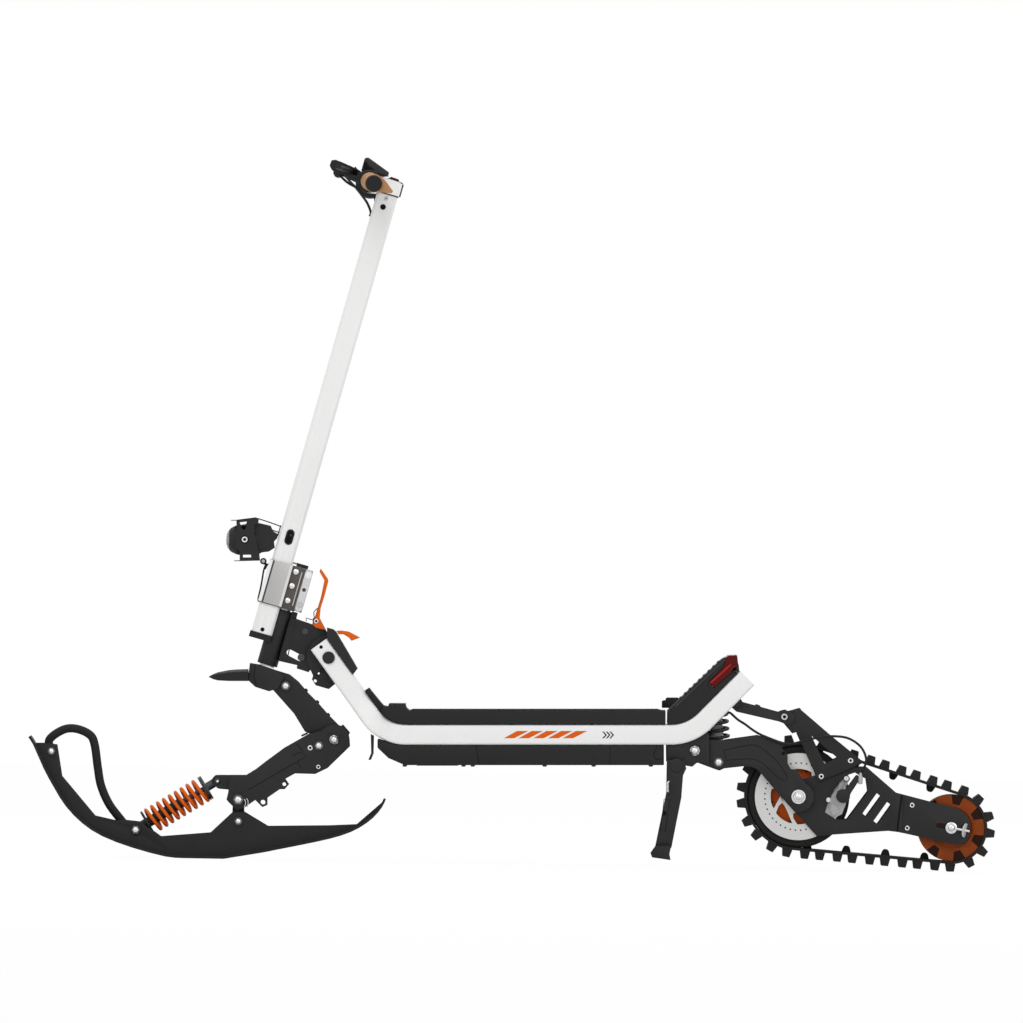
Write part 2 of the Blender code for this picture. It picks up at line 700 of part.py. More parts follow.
def make_handlebar():
    swell = [(0, -BAR_HALF), (BAR_RADIUS, -BAR_HALF), (BAR_RADIUS, -60), (15.9, -36), (15.9, 36)]
    make("handlebar", "steer", BLACK, bar_turned([*swell, (BAR_RADIUS, 60), (BAR_RADIUS, BAR_HALF),
                                                  (0, BAR_HALF)], 20))
    for name, side in (("grip_left", -1), ("grip_right", 1)):
        inner, outer = GRIP_START * side, (BAR_HALF - 2) * side
        sleeve = [(BAR_ROOM, inner), (16.6, inner), (16.6, outer), (BAR_ROOM, outer)]
        wing = rounded((-66, 872, 4), (-36, 864, 6), (-20, 849, 4), (-41, 843, 8), (-63, 842, 6),
                       (-76, 850, 6))
        low, high = sorted((inner + 6 * side, outer - 12 * side))
        core = bar_turned([(0, -400), (BAR_ROOM, -400), (BAR_ROOM, 400), (0, 400)])
        make(name, "steer", TAN, bar_turned(sleeve, 14, True), add(steer_plate(wing, low, high)), cut(core))


def make_brakes():
    for name, owner, side in (("left", "brake_left", -1), ("right", "brake_right", 1)):
        ring = [(BAR_ROOM, 116 * side), (17, 116 * side), (17, 142 * side), (BAR_ROOM, 142 * side)]
        perch = rounded((-111, 856, 4), (-74, 850), (-74, 868), (-88, 873, 4), (-111, 877, 4))
        low, high = sorted((118 * side, 140 * side))
        slot_low, slot_high = 861.5, 871.5
        slot = steering(box((-130, low - 4, slot_low), (-88, high + 4, slot_high)))
        axle = steering(moved(turned([(0, 858), (3, 858), (3, 874), (0, 874)], 12),
                              Matrix.Translation((BRAKE_PIVOT[0], BRAKE_PIVOT_Y * side, 0))))
        core = bar_turned([(0, -400), (BAR_ROOM, -400), (BAR_ROOM, 400), (0, 400)])
        make(f"brake_perch_{name}", "steer", BLACK, bar_turned(ring, 14, True),
             add(steer_plate(perch, low, high)),
             cut(slot), add(axle), cut(core))
        blade = [(-108, 120), (-94, 120), (-97, 139), (-104, 160), (-112, 200), (-117, 240), (-118, 285),
                 (-128, 287), (-128, 240), (-124, 200), (-116, 155), (-110, 138)]
        flat = steer_prism([(a, y * side) for a, y in blade], slot_low + 0.7, slot_high - 0.7)
        hole = steering(moved(turned([(0, 850), (3.3, 850), (3.3, 885), (0, 885)], 12),
                              Matrix.Translation((BRAKE_PIVOT[0], BRAKE_PIVOT_Y * side, 0))))
        make(f"brake_lever_{name}", owner, BLACK, flat, cut(hole))


def make_throttle():
    ring = bar_turned([(BAR_ROOM, 150), (24, 150), (26.5, 154), (26.5, 168), (24, 172), (BAR_ROOM, 172)],
                      14, True)
    paddle = rounded((-52, 840, 3), (-40, 812, 4), (-28, 814, 4), (-38, 846, 3))
    core = bar_turned([(0, 100), (BAR_ROOM, 100), (BAR_ROOM, 200), (0, 200)])
    make("throttle_lever", "throttle", BLACK, ring, add(steer_plate(paddle, 155, 167)), cut(core))


def make_headlight():
    cheek = [(-112, 160), (-110, 170), (-99, 172), (-48.4, 141), (-48.4, 122), (-60, 124), (-108, 154)]
    foot = steer_plate([(-52, 122.5), (-48.4, 122.5), (-48.4, 140.5), (-52, 140.5)], -32, 32)
    make("headlight_bracket", "steer", BLACK, steer_plate(cheek, -34, -31), add(foot),
         add(steer_plate(cheek, 31, 34)))
    make_lamp()


def make_lamp():
    shell = [(-526, 623), (-526, 569), (-502, 569), (-465, 572), (-447, 574), (-437, 581), (-438, 592),
             (-429, 605), (-472, 637), (-508, 633)]
    body_part = plate(rounded(*[(x, z, 4) for x, z in shell]), -30, 30)
    lens_room = plate([(-530, 618), (-530, 574), (-521, 574), (-521, 618)], -25, 25)
    make("headlight_housing", "lamp", BLACK, body_part, cut(lens_room))
    glass = rounded((-527, 617.5, 2), (-527, 574.5, 2), (-521.4, 574.5), (-521.4, 617.5))
    make("headlight_lens", "lamp", LENS, plate(glass, -24.5, 24.5))


def make_fork():
    under = [(-482, 369), (-486, 338), (-472, 325), (-447, 317), (-440, 320), (-424, 302), (-401, 276),
             (-381, 243), (-375, 240), (-352, 231)]
    eye = arc(KNEE, 17, 190, 350, 8)
    top = [(-300, 237), (-298, 241), (-311, 256), (-316, 252), (-337, 273), (-357, 296), (-375, 314),
           (-393, 335), (-409, 348), (-435, 356), (-463, 366)]
    crown = [(-482, 369), (-486, 338), (-472, 325), (-447, 317), (-430, 322), (-418, 345), (-435, 356),
             (-463, 366)]
    make("fork", "steer", BLACK, plate(under + eye + top, -18, 18), add(plate(crown, -24, 24)),
         cut(pin(KNEE, BOLT_ROOM, -30, 30)))
    make("knee_bolt", "steer", BRIGHT, bolt(KNEE, 6, 9, 26.3, 5))
    beak = plate([(-557, 344), (-535, 354), (-494, 358), (-491, 335), (-531, 336)], -30, 30)
    for vert in beak.verts:
        vert.co.y *= 0.25 + 0.75 * min((vert.co.x + 557) / 45, 1)
    tab = plate([(-496, 354), (-484.6, 352), (-486, 341), (-496, 341)], -8, 8)
    make("front_fender", "steer", BLACK, beak, add(tab))


# Front ski


def make_ski_arm():
    top = [(-419, 213), (-375, 238), (-350, 245)] + arc(KNEE, 28, 120, 8, 6)
    tail = [(-298, 216), (-303, 211), (-339, 176), (-362, 165), (-399, 166), (-417, 156)]
    hooks = [(-410, 146), (-418, 137), (-427, 137), (-450, 121), (-450, 108), (-459, 104), (-467, 112),
             (-472, 117)]
    toe = [(-491, 104), (-505, 98), (-521, 113), (-525, 118), (-522, 131), (-518, 163), (-489, 163),
           (-471, 174), (-453, 188)]
    lug = rounded((-510, 163), (-546, 163, 6), (-555, 152, 4), (-541, 138, 6), (-520, 136), (-510, 130))
    knee_room = [(-388, 226), (-375, 224), (-349, 217)] + arc(KNEE, 19, 200, 340, 7) + [(-290, 221),
                                                                                        (-290, 290),
                                                                                        (-388, 290)]
    pivot_room = [(-519, 80), (-488, 80), (-490, 118)] + arc(SKI_PIVOT, 13.5, 0, 180, 8) + [(-517, 118)]
    eye_room = [(-570, 125), (-526, 125), (-526, 180), (-570, 180)]
    make("ski_arm", "arm", BLACK, plate(top + tail + hooks + toe, -26, 26), add(plate(lug, -16, 16)),
         cut(plate(knee_room, -18.4, 18.4)), cut(plate(pivot_room, -12.4, 12.4)),
         cut(plate(eye_room, -9.4, 9.4)),
         cut(pin(KNEE, BOLT_ROOM, -30, 30)), cut(pin(SKI_PIVOT, BOLT_ROOM, -30, 30)),
         cut(pin(SHOCK_TOP, 4.3, -30, 30)),
         cut(pin((-458, 113), 4.6, -30, 30, 12)), cut(pin((-419, 146), 3.8, -30, 30, 8)))


def ski_bottom():
    """The running surface, from the tip to the tail, flat where it meets the snow."""
    tip = [(-889, 233), (-880, 219), (-861, 176), (-841, 139), (-820, 106), (-790, 75), (-753, 51),
           (-698, 30), (-637, 13.6)]
    tail = [(-464, 20), (-436, 25.4), (-361, 40.4), (-314, 52.1), (-281, 66.2), (-255, 85),
            (-239, 104), (-232, 118)]
    nose = smooth([*tip, (-605, on_ground(-605))], 2)
    heel = smooth([(-530, on_ground(-530)), *tail], 2)
    return nose + heel


def make_ski():
    sole = ski_bottom()
    rib_top = [(-231.5, 119), (-286, 72), (-335, 70), (-449, 69), (-492, 95), (-515, 94), (-555, 57),
               (-646, 50), (-683, 77), (-710, 80), (-732, 80), (-767, 88), (-828, 161), (-837, 219),
               (-858, 222), (-876, 222)]
    rib = offset(sole, 2)[2:-1] + rib_top
    blade_plate = plate(band(sole, 0, SKI_THICKNESS), -SKI_HALF, SKI_HALF)
    make("ski_blade", "ski", BLACK, blade_plate, add(plate(rib, RIB_INNER, RIB_OUTER)),
         add(plate(rib, -RIB_OUTER, -RIB_INNER)), cut(pin(SHOCK_FOOT, 5.3, -40, 40)))
    make_saddle()
    make_ski_handle()


def make_saddle():
    tongue = [(-517, 40), (-490, 40), (-493.4, 117)] + arc(SKI_PIVOT, 10, 0, 180, 8) + [(-513.4, 117)]
    block = [(-535, 15.5), (-475, 25), (-478, 76), (-490, 84), (-516, 84), (-530, 70)]
    low = RIB_INNER - GAP
    make("ski_saddle", "ski", BLACK, plate(tongue, -12, 12), add(plate(block, -low, low)),
         add(bolt(SKI_PIVOT, 6, 9, 26.3, 3.4)))


def make_ski_handle():
    route = [(-848, 207), (-851, 228), (-826, 246), (-802, 248), (-777, 237), (-768, 219), (-762, 176),
             (-756, 143), (-741, 109), (-716, 76)]
    loop = tube([(x, 0, z) for x, z in smooth(route, 2)], 7.8, 8)
    reach = RIB_INNER - GAP
    make("ski_handle", "ski", BLACK, loop, add(pin((-848, 207), 7, -reach, reach)),
         add(pin((-718, 74), 6, -reach, reach)))


def make_front_shock():
    foot = (SHOCK_FOOT[0], 0, SHOCK_FOOT[1])
    top = (SHOCK_TOP[0], 0, SHOCK_TOP[1])
    barrel = [(0, 0), (9.5, 0), (9.5, 23), (24, 23), (24, 27), (9.5, 27), (9.5, 100), (0, 100)]
    bore = [(0, 40), (6.6, 40), (6.6, 120), (0, 120)]
    make("shock_body", "damper", BLACK, along(foot, top, barrel), add(pin(SHOCK_FOOT, 11, -10, 10)),
         cut(along(foot, top, bore, 10)), add(bolt(SHOCK_FOOT, 5, 9, 36.3, 5)))
    rod = [(0, 0), (8, 0), (8, 22), (24, 22), (24, 26), (5, 26), (5, 112), (0, 112)]
    make("shock_rod", "rod", BLACK, along(top, foot, rod), add(pin(SHOCK_TOP, 9, -9, 9)),
         add(bolt(SHOCK_TOP, 4, 6, 16.3, 3.5)))
    coil("shock_spring", "damper", ORANGE, foot, top, 31, 145, 9)


# Rear suspension and track


def make_swingarm():
    front = arc(SWING_PIVOT, 19, 250, 110, 5)
    top = [(364, 228), (387, 227), (452, 236), (500, 221), (495, 214), (506, 201), (506, 185), (512, 175),
           (523, 173)]
    boss = arc(AXLE, 28, 62, -62, 5)
    under = [(523, 95), (493, 125), (458, 166), (450, 174), (440, 179), (427, 180), (390, 176), (381, 172),
             (374, 174)]
    arm = [*front, *top, *boss, *under]
    line_start = Vector((SWING_SHOCK[0], 0, SWING_SHOCK[1]))
    line_end = Vector((REAR_SHOCK_TOP[0], 0, REAR_SHOCK_TOP[1]))
    seat = along(line_start, line_end, [(0, 0), (9, 0), (9, 29), (26, 29), (26, 33), (12, 33), (12, 50),
                                        (0, 50)])
    make("swingarm", "swing", BLACK, plate(arm, -80, -68.5), add(plate(arm, 68.5, 80)),
         add(pin(SWING_PIVOT, 12, -72, 72)), add(pin(SWING_SHOCK, 10, -72, 72)), add(seat),
         cut(pin(SWING_PIVOT, BOLT_ROOM, -100, 100)), cut(pin(AXLE, 8.3, -90, 90)))
    coil("rear_shock_spring", "swing", BLACK, line_start, line_end, 36.6, 90, 4)


def make_link():
    edge = rounded((419, 306, 4), (404, 304, 4), (400, 291, 4), (412, 280, 4), (490, 262), (511, 254, 8),
                   (522, 273, 8), (503, 283), (490, 279), (424, 297, 4))
    make("upper_link", "link", BLACK, plate(edge, -75, -69), add(plate(edge, 69, 75)),
         add(pin((451, 286), 7, -72, 72, 8)), cut(pin(LINK_FRONT, 9.8, -90, 90)),
         cut(pin(LINK_REAR, 7.5, -90, 90)))


def track_plate_shapes():
    """Outlines of one track plate: main sheet, rear sheet, window, slots, bracket."""
    main = [(493, 125), (560, 51), (588, 54), (691, 61), (711, 58.5), (716, 57), (716, 127), (707, 130),
            (652, 178), (600, 178), (548, 160)]
    rear = [(704, 59.5), (711, 58.5), (749, 50), (796, 40), (821, 35), (831, 38), (839, 47), (842, 63),
            (841, 78), (834, 91), (821, 101), (805, 106), (768, 114), (707, 130), (704, 129)]
    window = [(638, 163), (651, 156), (654, 133), (616, 82), (595, 82), (575, 95), (577, 102)]
    window += [(584, 123), (592, 137), (603, 151), (618, 164), (630, 168)]
    slots = [[(670, 130), (678, 124), (651, 87), (644, 93)], [(689, 114), (697, 108), (672, 73), (664, 79)]]
    bracket = [(528, 286), (585, 237), (634, 197), (650, 184), (644, 186), (613, 171), (563, 150),
               (553, 174), (524, 239)]
    return main, rear, window, slots, bracket


def make_track_plates():
    main, rear, window, slots, bracket = track_plate_shapes()
    hole = [(550, 236), (598, 195), (574, 184)]
    rise = arc(AXLE, 30, 100, 200, 6)
    main = main + rise
    ear = circle(LINK_REAR, 12, 12)
    neck = [(490, 270), (515, 240), (545, 250), (530, 286), (508, 280)]
    step = [(704, 59.5), (711, 58.5), (716, 57.3), (716, 127), (707, 129.5), (704, 129)]
    link_pin = circle(LINK_REAR, 5, 10)
    for name, side in (("track_plate_left", -1), ("track_plate_right", 1)):
        parts = [
            add(side_plate(rear, 52, 56, side)),
            add(side_plate(step, 52, 64, side)),
            add(side_plate(bracket, 63, 68, side, [hole])),
            add(side_plate(neck, 64, 68, side)),
            add(side_plate(ear, 64, 68, side)),
            add(side_plate(link_pin, 65, 76, side)),
        ]
        cuts = [cut(pin(AXLE, 8.3, -90, 90)), cut(pin(IDLER, BOLT_ROOM, -90, 90))]
        sheet = side_plate(main, 60, 64, side, [window, *slots])
        make(name, "track", BLACK, sheet, *parts, *cuts)


def make_axles():
    nut = [(0, -90), (6, -90), (8, -86), (12.5, -85), (12.5, -80.3), (8, -80.3), (8, 80.3), (12.5, 80.3),
           (12.5, 86), (8, 88), (0, 88)]
    make("drive_axle", "track", BRIGHT, across(AXLE, nut, 12))
    idler_nut = [(0, -64), (5, -64), (11, -61), (11, -56.3), (6, -56.3), (6, 56.3), (11, 56.3), (11, 61),
                 (5, 64), (0, 64)]
    make("idler_axle", "track", BRIGHT, across(IDLER, idler_nut, 12))


def make_wheels():
    tyre = [(68.3, -45), (91, -45), (93.7, -42), (93.7, -13), (78.5, -13), (78.5, 13), (93.7, 13),
            (93.7, 42), (91, 45), (68.3, 45)]
    make("drive_wheel", "drive", RUBBER, across(AXLE, tyre, 28, True))
    hub = [(8.3, -53.4), (24, -53.4), (24, -44), (60, -44), (68, -36), (68, 36), (60, 44), (24, 44),
           (24, 52), (8.3, 52)]
    make("hub_motor", "drive", ORANGE, across(AXLE, hub, 28, True))
    holes = [circle(AXLE, 8.3, 12)]
    for index in range(DISC_WINDOWS):
        turn = 360 / DISC_WINDOWS * index
        corners = ((32.4, 200), (51.2, 216), (52, 236), (50.2, 257))
        holes.append([arc(AXLE, radius, angle + turn, angle + turn, 1)[0] for radius, angle in corners])
    make("brake_disc", "drive", SILVER, plate(circle(AXLE, DISC_RADIUS, 36), -56, -53.7, holes))
    idler = [(6.4, -45), (58, -45), (61.2, -42), (61.2, -13), (46, -13)]
    make("idler_wheel", "idler", RUST, across(IDLER, idler + [(r, -y) for r, y in idler[::-1]], 24, True))


def belt_shape():
    """Belt's turning radii, straight run, lean of the wheels' line and its spread."""
    big = DRIVE_RADIUS + BELT_THICKNESS / 2
    small = IDLER_RADIUS + BELT_THICKNESS / 2
    line = Vector(IDLER) - Vector(AXLE)
    spread = asin((big - small) / line.length)
    return big, small, line.length * cos(spread), atan2(line.y, line.x), spread


def belt_runs():
    """Lengths of the lower run, the turn at the idler, the upper run and the drive's turn."""
    big, small, straight, _, spread = belt_shape()
    return straight, small * (pi - 2 * spread), straight, big * (pi + 2 * spread)


def belt_line(distance):
    """Point and outward direction on the belt's middle line, from the drive's lower end."""
    big, small, straight, lean, spread = belt_shape()
    idler_turn = belt_runs()[1]
    distance %= sum(belt_runs())
    low = lean - pi / 2 + spread
    high = lean + pi / 2 - spread
    if distance < straight:
        way = Vector((cos(low), sin(low)))
        return Vector(AXLE) + way * big + Vector((-way.y, way.x)) * distance, way
    distance -= straight
    if distance < idler_turn:
        angle = low + distance / small
        way = Vector((cos(angle), sin(angle)))
        return Vector(IDLER) + way * small, way
    distance -= idler_turn
    if distance < straight:
        way = Vector((cos(high), sin(high)))
        return Vector(IDLER) + way * small + Vector((-way.y, way.x)) * distance, way
    angle = high + (distance - straight) / big
    way = Vector((cos(angle), sin(angle)))
    return Vector(AXLE) + way * big, way


def ground_distance():
    """Distance along the middle line to the lug that stands flat on the ground."""
    _, small, straight, lean, spread = belt_shape()
    return straight + small * (-pi / 2 - STANCE - (lean - pi / 2 + spread))


def lug_corners(distance, base, top, height, inward=False):
    """Four corners of one lug, square to the belt at its middle."""
    point, way = belt_line(distance)
    run = Vector((-way.y, way.x))
    lift = -way if inward else way
    root = point + lift * BELT_THICKNESS / 2
    return [root - run * base / 2, root + lift * height - run * top / 2,
            root + lift * height + run * top / 2, root + run * base / 2]


def belt_outer():
    """The outer outline, a lug at every step of an uneven pitch."""
    pair = sum(belt_runs()) / (OUTER_LUGS / 2)
    start = ground_distance() - LUG_SHARE * pair
    points = []
    for index in range(OUTER_LUGS):
        here = start + pair * (index // 2) + (LUG_SHARE * pair if index % 2 else 0)
        points += [tuple(p) for p in lug_corners(here, 17, 13, LUG_HEIGHT)]
    return points


def belt_inner():
    """The inner outline: an arc round each wheel, joined by the straight runs."""
    straight, idler_turn, _, drive_turn = belt_runs()
    stops = [straight + idler_turn * step / 12 for step in range(13)]
    stops += [2 * straight + idler_turn + drive_turn * step / 20 for step in range(21)]
    points = []
    for stop in stops:
        point, way = belt_line(stop)
        points.append(tuple(point - way * (BELT_THICKNESS / 2 - GAP)))
    return points


def make_belt():
    lugs = []
    for index in range(GUIDE_LUGS):
        middle = sum(belt_runs()) * (index + 0.35) / GUIDE_LUGS
        corners = lug_corners(middle, 18, 10, LUG_HEIGHT, True)
        _, way = belt_line(middle)
        root = [tuple(corners[0] + way * 3), *[tuple(c) for c in corners], tuple(corners[3] + way * 3)]
        lugs.append(plate(root, -11, 11))
    belt = plate(belt_outer(), -BELT_HALF, BELT_HALF, [belt_inner()])
    make("track_belt", "track", RUBBER, belt, add(together(*lugs)))


def make_caliper():
    body_edge = [(605, 148), (587, 126), (580, 99), (595, 86), (606, 92), (613, 110), (614, 140)]
    ear_edge = [(575, 112), (574, 122), (592, 146), (606, 163), (617, 164), (622, 157), (612, 140),
                (592, 118), (584, 110)]
    cap = across(CALIPER, [(0, -76), (10, -76), (12.7, -73), (12.7, -58), (0, -58)])
    slot = across(AXLE, [(0, -57), (82.5, -57), (82.5, -52.3), (0, -52.3)], 48)
    outer_limit = across(AXLE, [(92, -60), (130, -60), (130, -40), (92, -40)], 48, True)
    rings = [pin((614, 157), 3.2, -70, -50, 12), pin((581, 118), 3.2, -70, -50, 12)]
    make("brake_caliper", "track", SILVER, plate(body_edge, -70, -49.3), add(cap), cut(outer_limit),
         cut(slot),
         add(plate(ear_edge, -59.6, -57.2)), cut(rings[0]), cut(rings[1]))
    arm_edge = rounded((598, 118, 4), (616, 114, 6), (622, 130, 5), (640, 158, 4), (633, 166, 3),
                       (612, 138, 6), (598, 132, 6))
    make("caliper_arm", "caliper_arm", BLACK, plate(arm_edge, -84, -76.3))


clear_scene()
set_bodies()
make_deck_frame()
make_deck_pan()
make_case()
make_latch()
make_footrest()
make_rear_bracket()
make_kickstand()
make_brake_cable()
make_neck()
make_fold_lever()
make_stem()
make_collar()
make_clamp()
make_handlebar()
make_brakes()
make_throttle()
make_headlight()
make_fork()
make_ski_arm()
make_ski()
make_front_shock()
make_swingarm()
make_link()
make_track_plates()
make_axles()
make_wheels()
make_belt()
make_caliper()
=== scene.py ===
# %% [markdown]
# # Electric snow scooter
#
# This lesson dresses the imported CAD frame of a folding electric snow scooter: a sprung ski
# in front, a low deck between two bent rails, and a driven rubber track behind. The frame
# brings the bodies and their joints. The lesson adds the finishes, the rounded edges and the
# small parts, one piece at a time.

import json
from math import asin, atan2, cos, degrees, hypot, pi, radians, sin

import bmesh
import bpy
from mathutils import Matrix, Vector


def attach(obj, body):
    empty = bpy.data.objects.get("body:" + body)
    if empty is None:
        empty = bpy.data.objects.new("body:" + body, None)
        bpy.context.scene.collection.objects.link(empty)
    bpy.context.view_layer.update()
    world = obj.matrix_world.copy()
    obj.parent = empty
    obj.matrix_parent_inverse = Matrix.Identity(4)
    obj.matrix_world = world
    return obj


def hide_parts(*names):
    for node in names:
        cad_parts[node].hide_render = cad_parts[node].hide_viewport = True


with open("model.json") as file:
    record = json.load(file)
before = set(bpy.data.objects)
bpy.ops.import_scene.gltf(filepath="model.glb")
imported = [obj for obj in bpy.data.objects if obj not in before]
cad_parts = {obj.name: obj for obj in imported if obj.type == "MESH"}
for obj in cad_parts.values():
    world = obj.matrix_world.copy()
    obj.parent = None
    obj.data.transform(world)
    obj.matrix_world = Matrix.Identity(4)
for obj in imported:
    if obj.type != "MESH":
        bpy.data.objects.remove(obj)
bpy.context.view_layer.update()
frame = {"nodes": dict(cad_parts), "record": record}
print("the frame has", len(frame["nodes"]), "CAD nodes")

# %% [markdown]
# ## The side drawing
#
# The scooter is best seen from its left side, so every size is kept in millimetres in a side
# drawing: X runs rearward, Y to the rider's right and Z up. Metres could be typed straight
# away, but millimetres can be checked with a ruler, and one matrix turns them into the
# frame's metres.
#
# The drawing leans by STANCE, which sets the ski and the track on the ground. The steering
# axis leans back by RAKE. Places along the stem are written as (a, s): a behind the steering
# axis and s up along it.

# %% The drawing's matrices
MM = 0.001
STANCE = radians(1.016)
RAKE = radians(16)
CENTRE_SHIFT = 3.45
STEER = (-437.5, 411)
DRAWING = Matrix.Translation((CENTRE_SHIFT * MM, 0, 0)) @ Matrix.Rotation(-STANCE, 4, "Y")
DRAW = DRAWING @ Matrix.Scale(MM, 4)
STEERED = DRAW @ Matrix.Translation((STEER[0], 0, STEER[1])) @ Matrix.Rotation(RAKE, 4, "Y")
print("the drawing leans", round(degrees(STANCE), 3), "degrees")

# %% [markdown]
# ## Finishes
#
# Paint, moulded plastic, rubber and metal differ in colour, in roughness and in their grain.
# A photographed texture would have to be unwrapped onto every piece. Noise textures need no
# unwrapping, so every finish is built from two of them. The first is slow, and it lets the
# colour drift a little between a darker and a lighter tone.

# %% Drift of the colour
DRIFT_SCALE = 18


def drift_colour(made, place, colour, drift):
    """Lets the colour grow a little lighter and darker over a few centimetres."""
    nodes, links = made.node_tree.nodes, made.node_tree.links
    slow = nodes.new("ShaderNodeTexNoise")
    slow.inputs["Scale"].default_value = DRIFT_SCALE
    slow.inputs["Detail"].default_value = 5
    links.new(place.outputs["Object"], slow.inputs["Vector"])
    tone = nodes.new("ShaderNodeMix")
    tone.data_type = "RGBA"
    tone.inputs["A"].default_value = (*[c * (1 - drift) for c in colour], 1)
    tone.inputs["B"].default_value = (*[min(c * (1 + drift), 1) for c in colour], 1)
    links.new(slow.outputs["Fac"], tone.inputs["Factor"])
    links.new(tone.outputs["Result"], nodes["Principled BSDF"].inputs["Base Color"])


print("noise of the colour: scale", DRIFT_SCALE)

# %% [markdown]
# The second noise is the grain. The roughness follows it between two limits, and a bump gives
# it a little relief. The grain could be modelled, but it is far finer than any mesh here.

# %% Grain of the surface
RELIEF_DEPTH = 0.0004


def grain_surface(made, fine, roughness, bump):
    """Lets the roughness and the relief follow the fine grain."""
    nodes, links = made.node_tree.nodes, made.node_tree.links
    shader = nodes["Principled BSDF"]
    spread = nodes.new("ShaderNodeMapRange")
    spread.inputs["From Min"].default_value = 0.3
    spread.inputs["From Max"].default_value = 0.7
    spread.inputs["To Min"].default_value = roughness[0]
    spread.inputs["To Max"].default_value = roughness[1]
    links.new(fine.outputs["Fac"], spread.inputs["Value"])
    links.new(spread.outputs["Result"], shader.inputs["Roughness"])
    relief = nodes.new("ShaderNodeBump")
    relief.inputs["Strength"].default_value = bump
    relief.inputs["Distance"].default_value = RELIEF_DEPTH
    links.new(fine.outputs["Fac"], relief.inputs["Height"])
    links.new(relief.outputs["Normal"], shader.inputs["Normal"])


print("relief:", RELIEF_DEPTH * 1000, "mm deep")

# %% [markdown]
# One function makes a finish by name and keeps it in a table, where every piece finds it.
# Metal, clear coat and shine are plain inputs of the Principled shader. A grain that is
# stretched gives brushed metal.

# %% Build a finish
LOOKS = {}


def finish(name, colour, roughness, metallic=0.0, drift=0.1, grain=500.0, bump=0.1,
           stretch=(1, 1, 1), coat=0.0, shine=0.5):
    """A Principled material with grain, bump and a slow drift of colour, kept in LOOKS."""
    made = bpy.data.materials.new(name)
    made.use_nodes = True
    nodes, links = made.node_tree.nodes, made.node_tree.links
    shader = nodes["Principled BSDF"]
    shader.inputs["Metallic"].default_value = metallic
    shader.inputs["Coat Weight"].default_value = coat
    shader.inputs["Specular IOR Level"].default_value = shine
    place = nodes.new("ShaderNodeTexCoord")
    mapping = nodes.new("ShaderNodeMapping")
    mapping.inputs["Scale"].default_value = stretch
    links.new(place.outputs["Object"], mapping.inputs["Vector"])
    fine = nodes.new("ShaderNodeTexNoise")
    fine.inputs["Scale"].default_value = grain
    fine.inputs["Detail"].default_value = 3
    links.new(mapping.outputs["Vector"], fine.inputs["Vector"])
    drift_colour(made, place, colour, drift)
    grain_surface(made, fine, roughness, bump)
    LOOKS[name] = made
    return made


# %% [markdown]
# The rails and the stem are white powder coat, most plates and castings are black, and the
# lever, the latch tab and the front spring are orange. Powder coat is nearly even in colour
# and has a fine skin, so these finishes differ mostly in grain and shine. The wheels' orange
# is deeper and more worn, so it drifts more.

# %% Paints
finish("white_paint", (0.86, 0.86, 0.855), (0.3, 0.42), drift=0.02, grain=700, bump=0.03, coat=0.2)
finish("black_paint", (0.016, 0.016, 0.017), (0.42, 0.6), drift=0.15, grain=1500, bump=0.25, shine=0.24)
finish("orange_paint", (0.7, 0.115, 0.006), (0.4, 0.55), drift=0.08, grain=700, bump=0.06, shine=0.14)
finish("orange_hub", (0.5, 0.08, 0.006), (0.4, 0.6), drift=0.16, grain=500, bump=0.1, shine=0.12)
finish("rust_wheel", (0.23, 0.042, 0.004), (0.4, 0.55), drift=0.6, grain=300, bump=0.1, shine=0.14)
# A near-black brown that paints the shade in the idler's recesses and in its axle's slot.
finish("painted_hollow_shade", (0.018, 0.006, 0.003), (0.5, 0.7), drift=0.4, bump=0.1, shine=0.1)
print("paints:", ", ".join(LOOKS))

# %% [markdown]
# The deck, the footrest and the ski are moulded in black plastic, and the belt, the mat and
# the grips are rubber. Each of them is dark with a broad, soft shine. What tells them apart
# is the size of the grain and how rough they are, so the same function makes them all.

# %% Plastics and rubbers
finish("black_plastic", (0.014, 0.014, 0.015), (0.5, 0.7), drift=0.15, grain=1100, bump=0.3, shine=0.22)
finish("black_gloss", (0.01, 0.01, 0.011), (0.1, 0.2), drift=0.1, bump=0.02, coat=0.2, shine=0.3)
finish("black_rubber", (0.014, 0.014, 0.014), (0.62, 0.85), drift=0.25, grain=650, bump=0.45, shine=0.22)
# Near-black for dark seams, a plug and a washer, and also painted shade in holes, sockets and creases.
finish("deep_black", (0.004, 0.004, 0.004), (0.6, 0.8), drift=0.2, bump=0.1, shine=0.1)
finish("tan_rubber", (0.42, 0.21, 0.085), (0.5, 0.7), drift=0.12, grain=900, bump=0.3, shine=0.35)
finish("decal_black", (0.01, 0.01, 0.01), (0.35, 0.5), drift=0.1, shine=0.3)
print("finishes so far:", len(LOOKS))

# %% [markdown]
# The bolts, the axles, the collar, the caliper and the brake disc are bare metal. A metal
# could be given a picture of its surroundings to mirror, but the scene's own lights do that
# well enough here. Castings get a coarse bump, turned parts almost none, and the collar's
# brushed face comes from a grain that is stretched along its height.

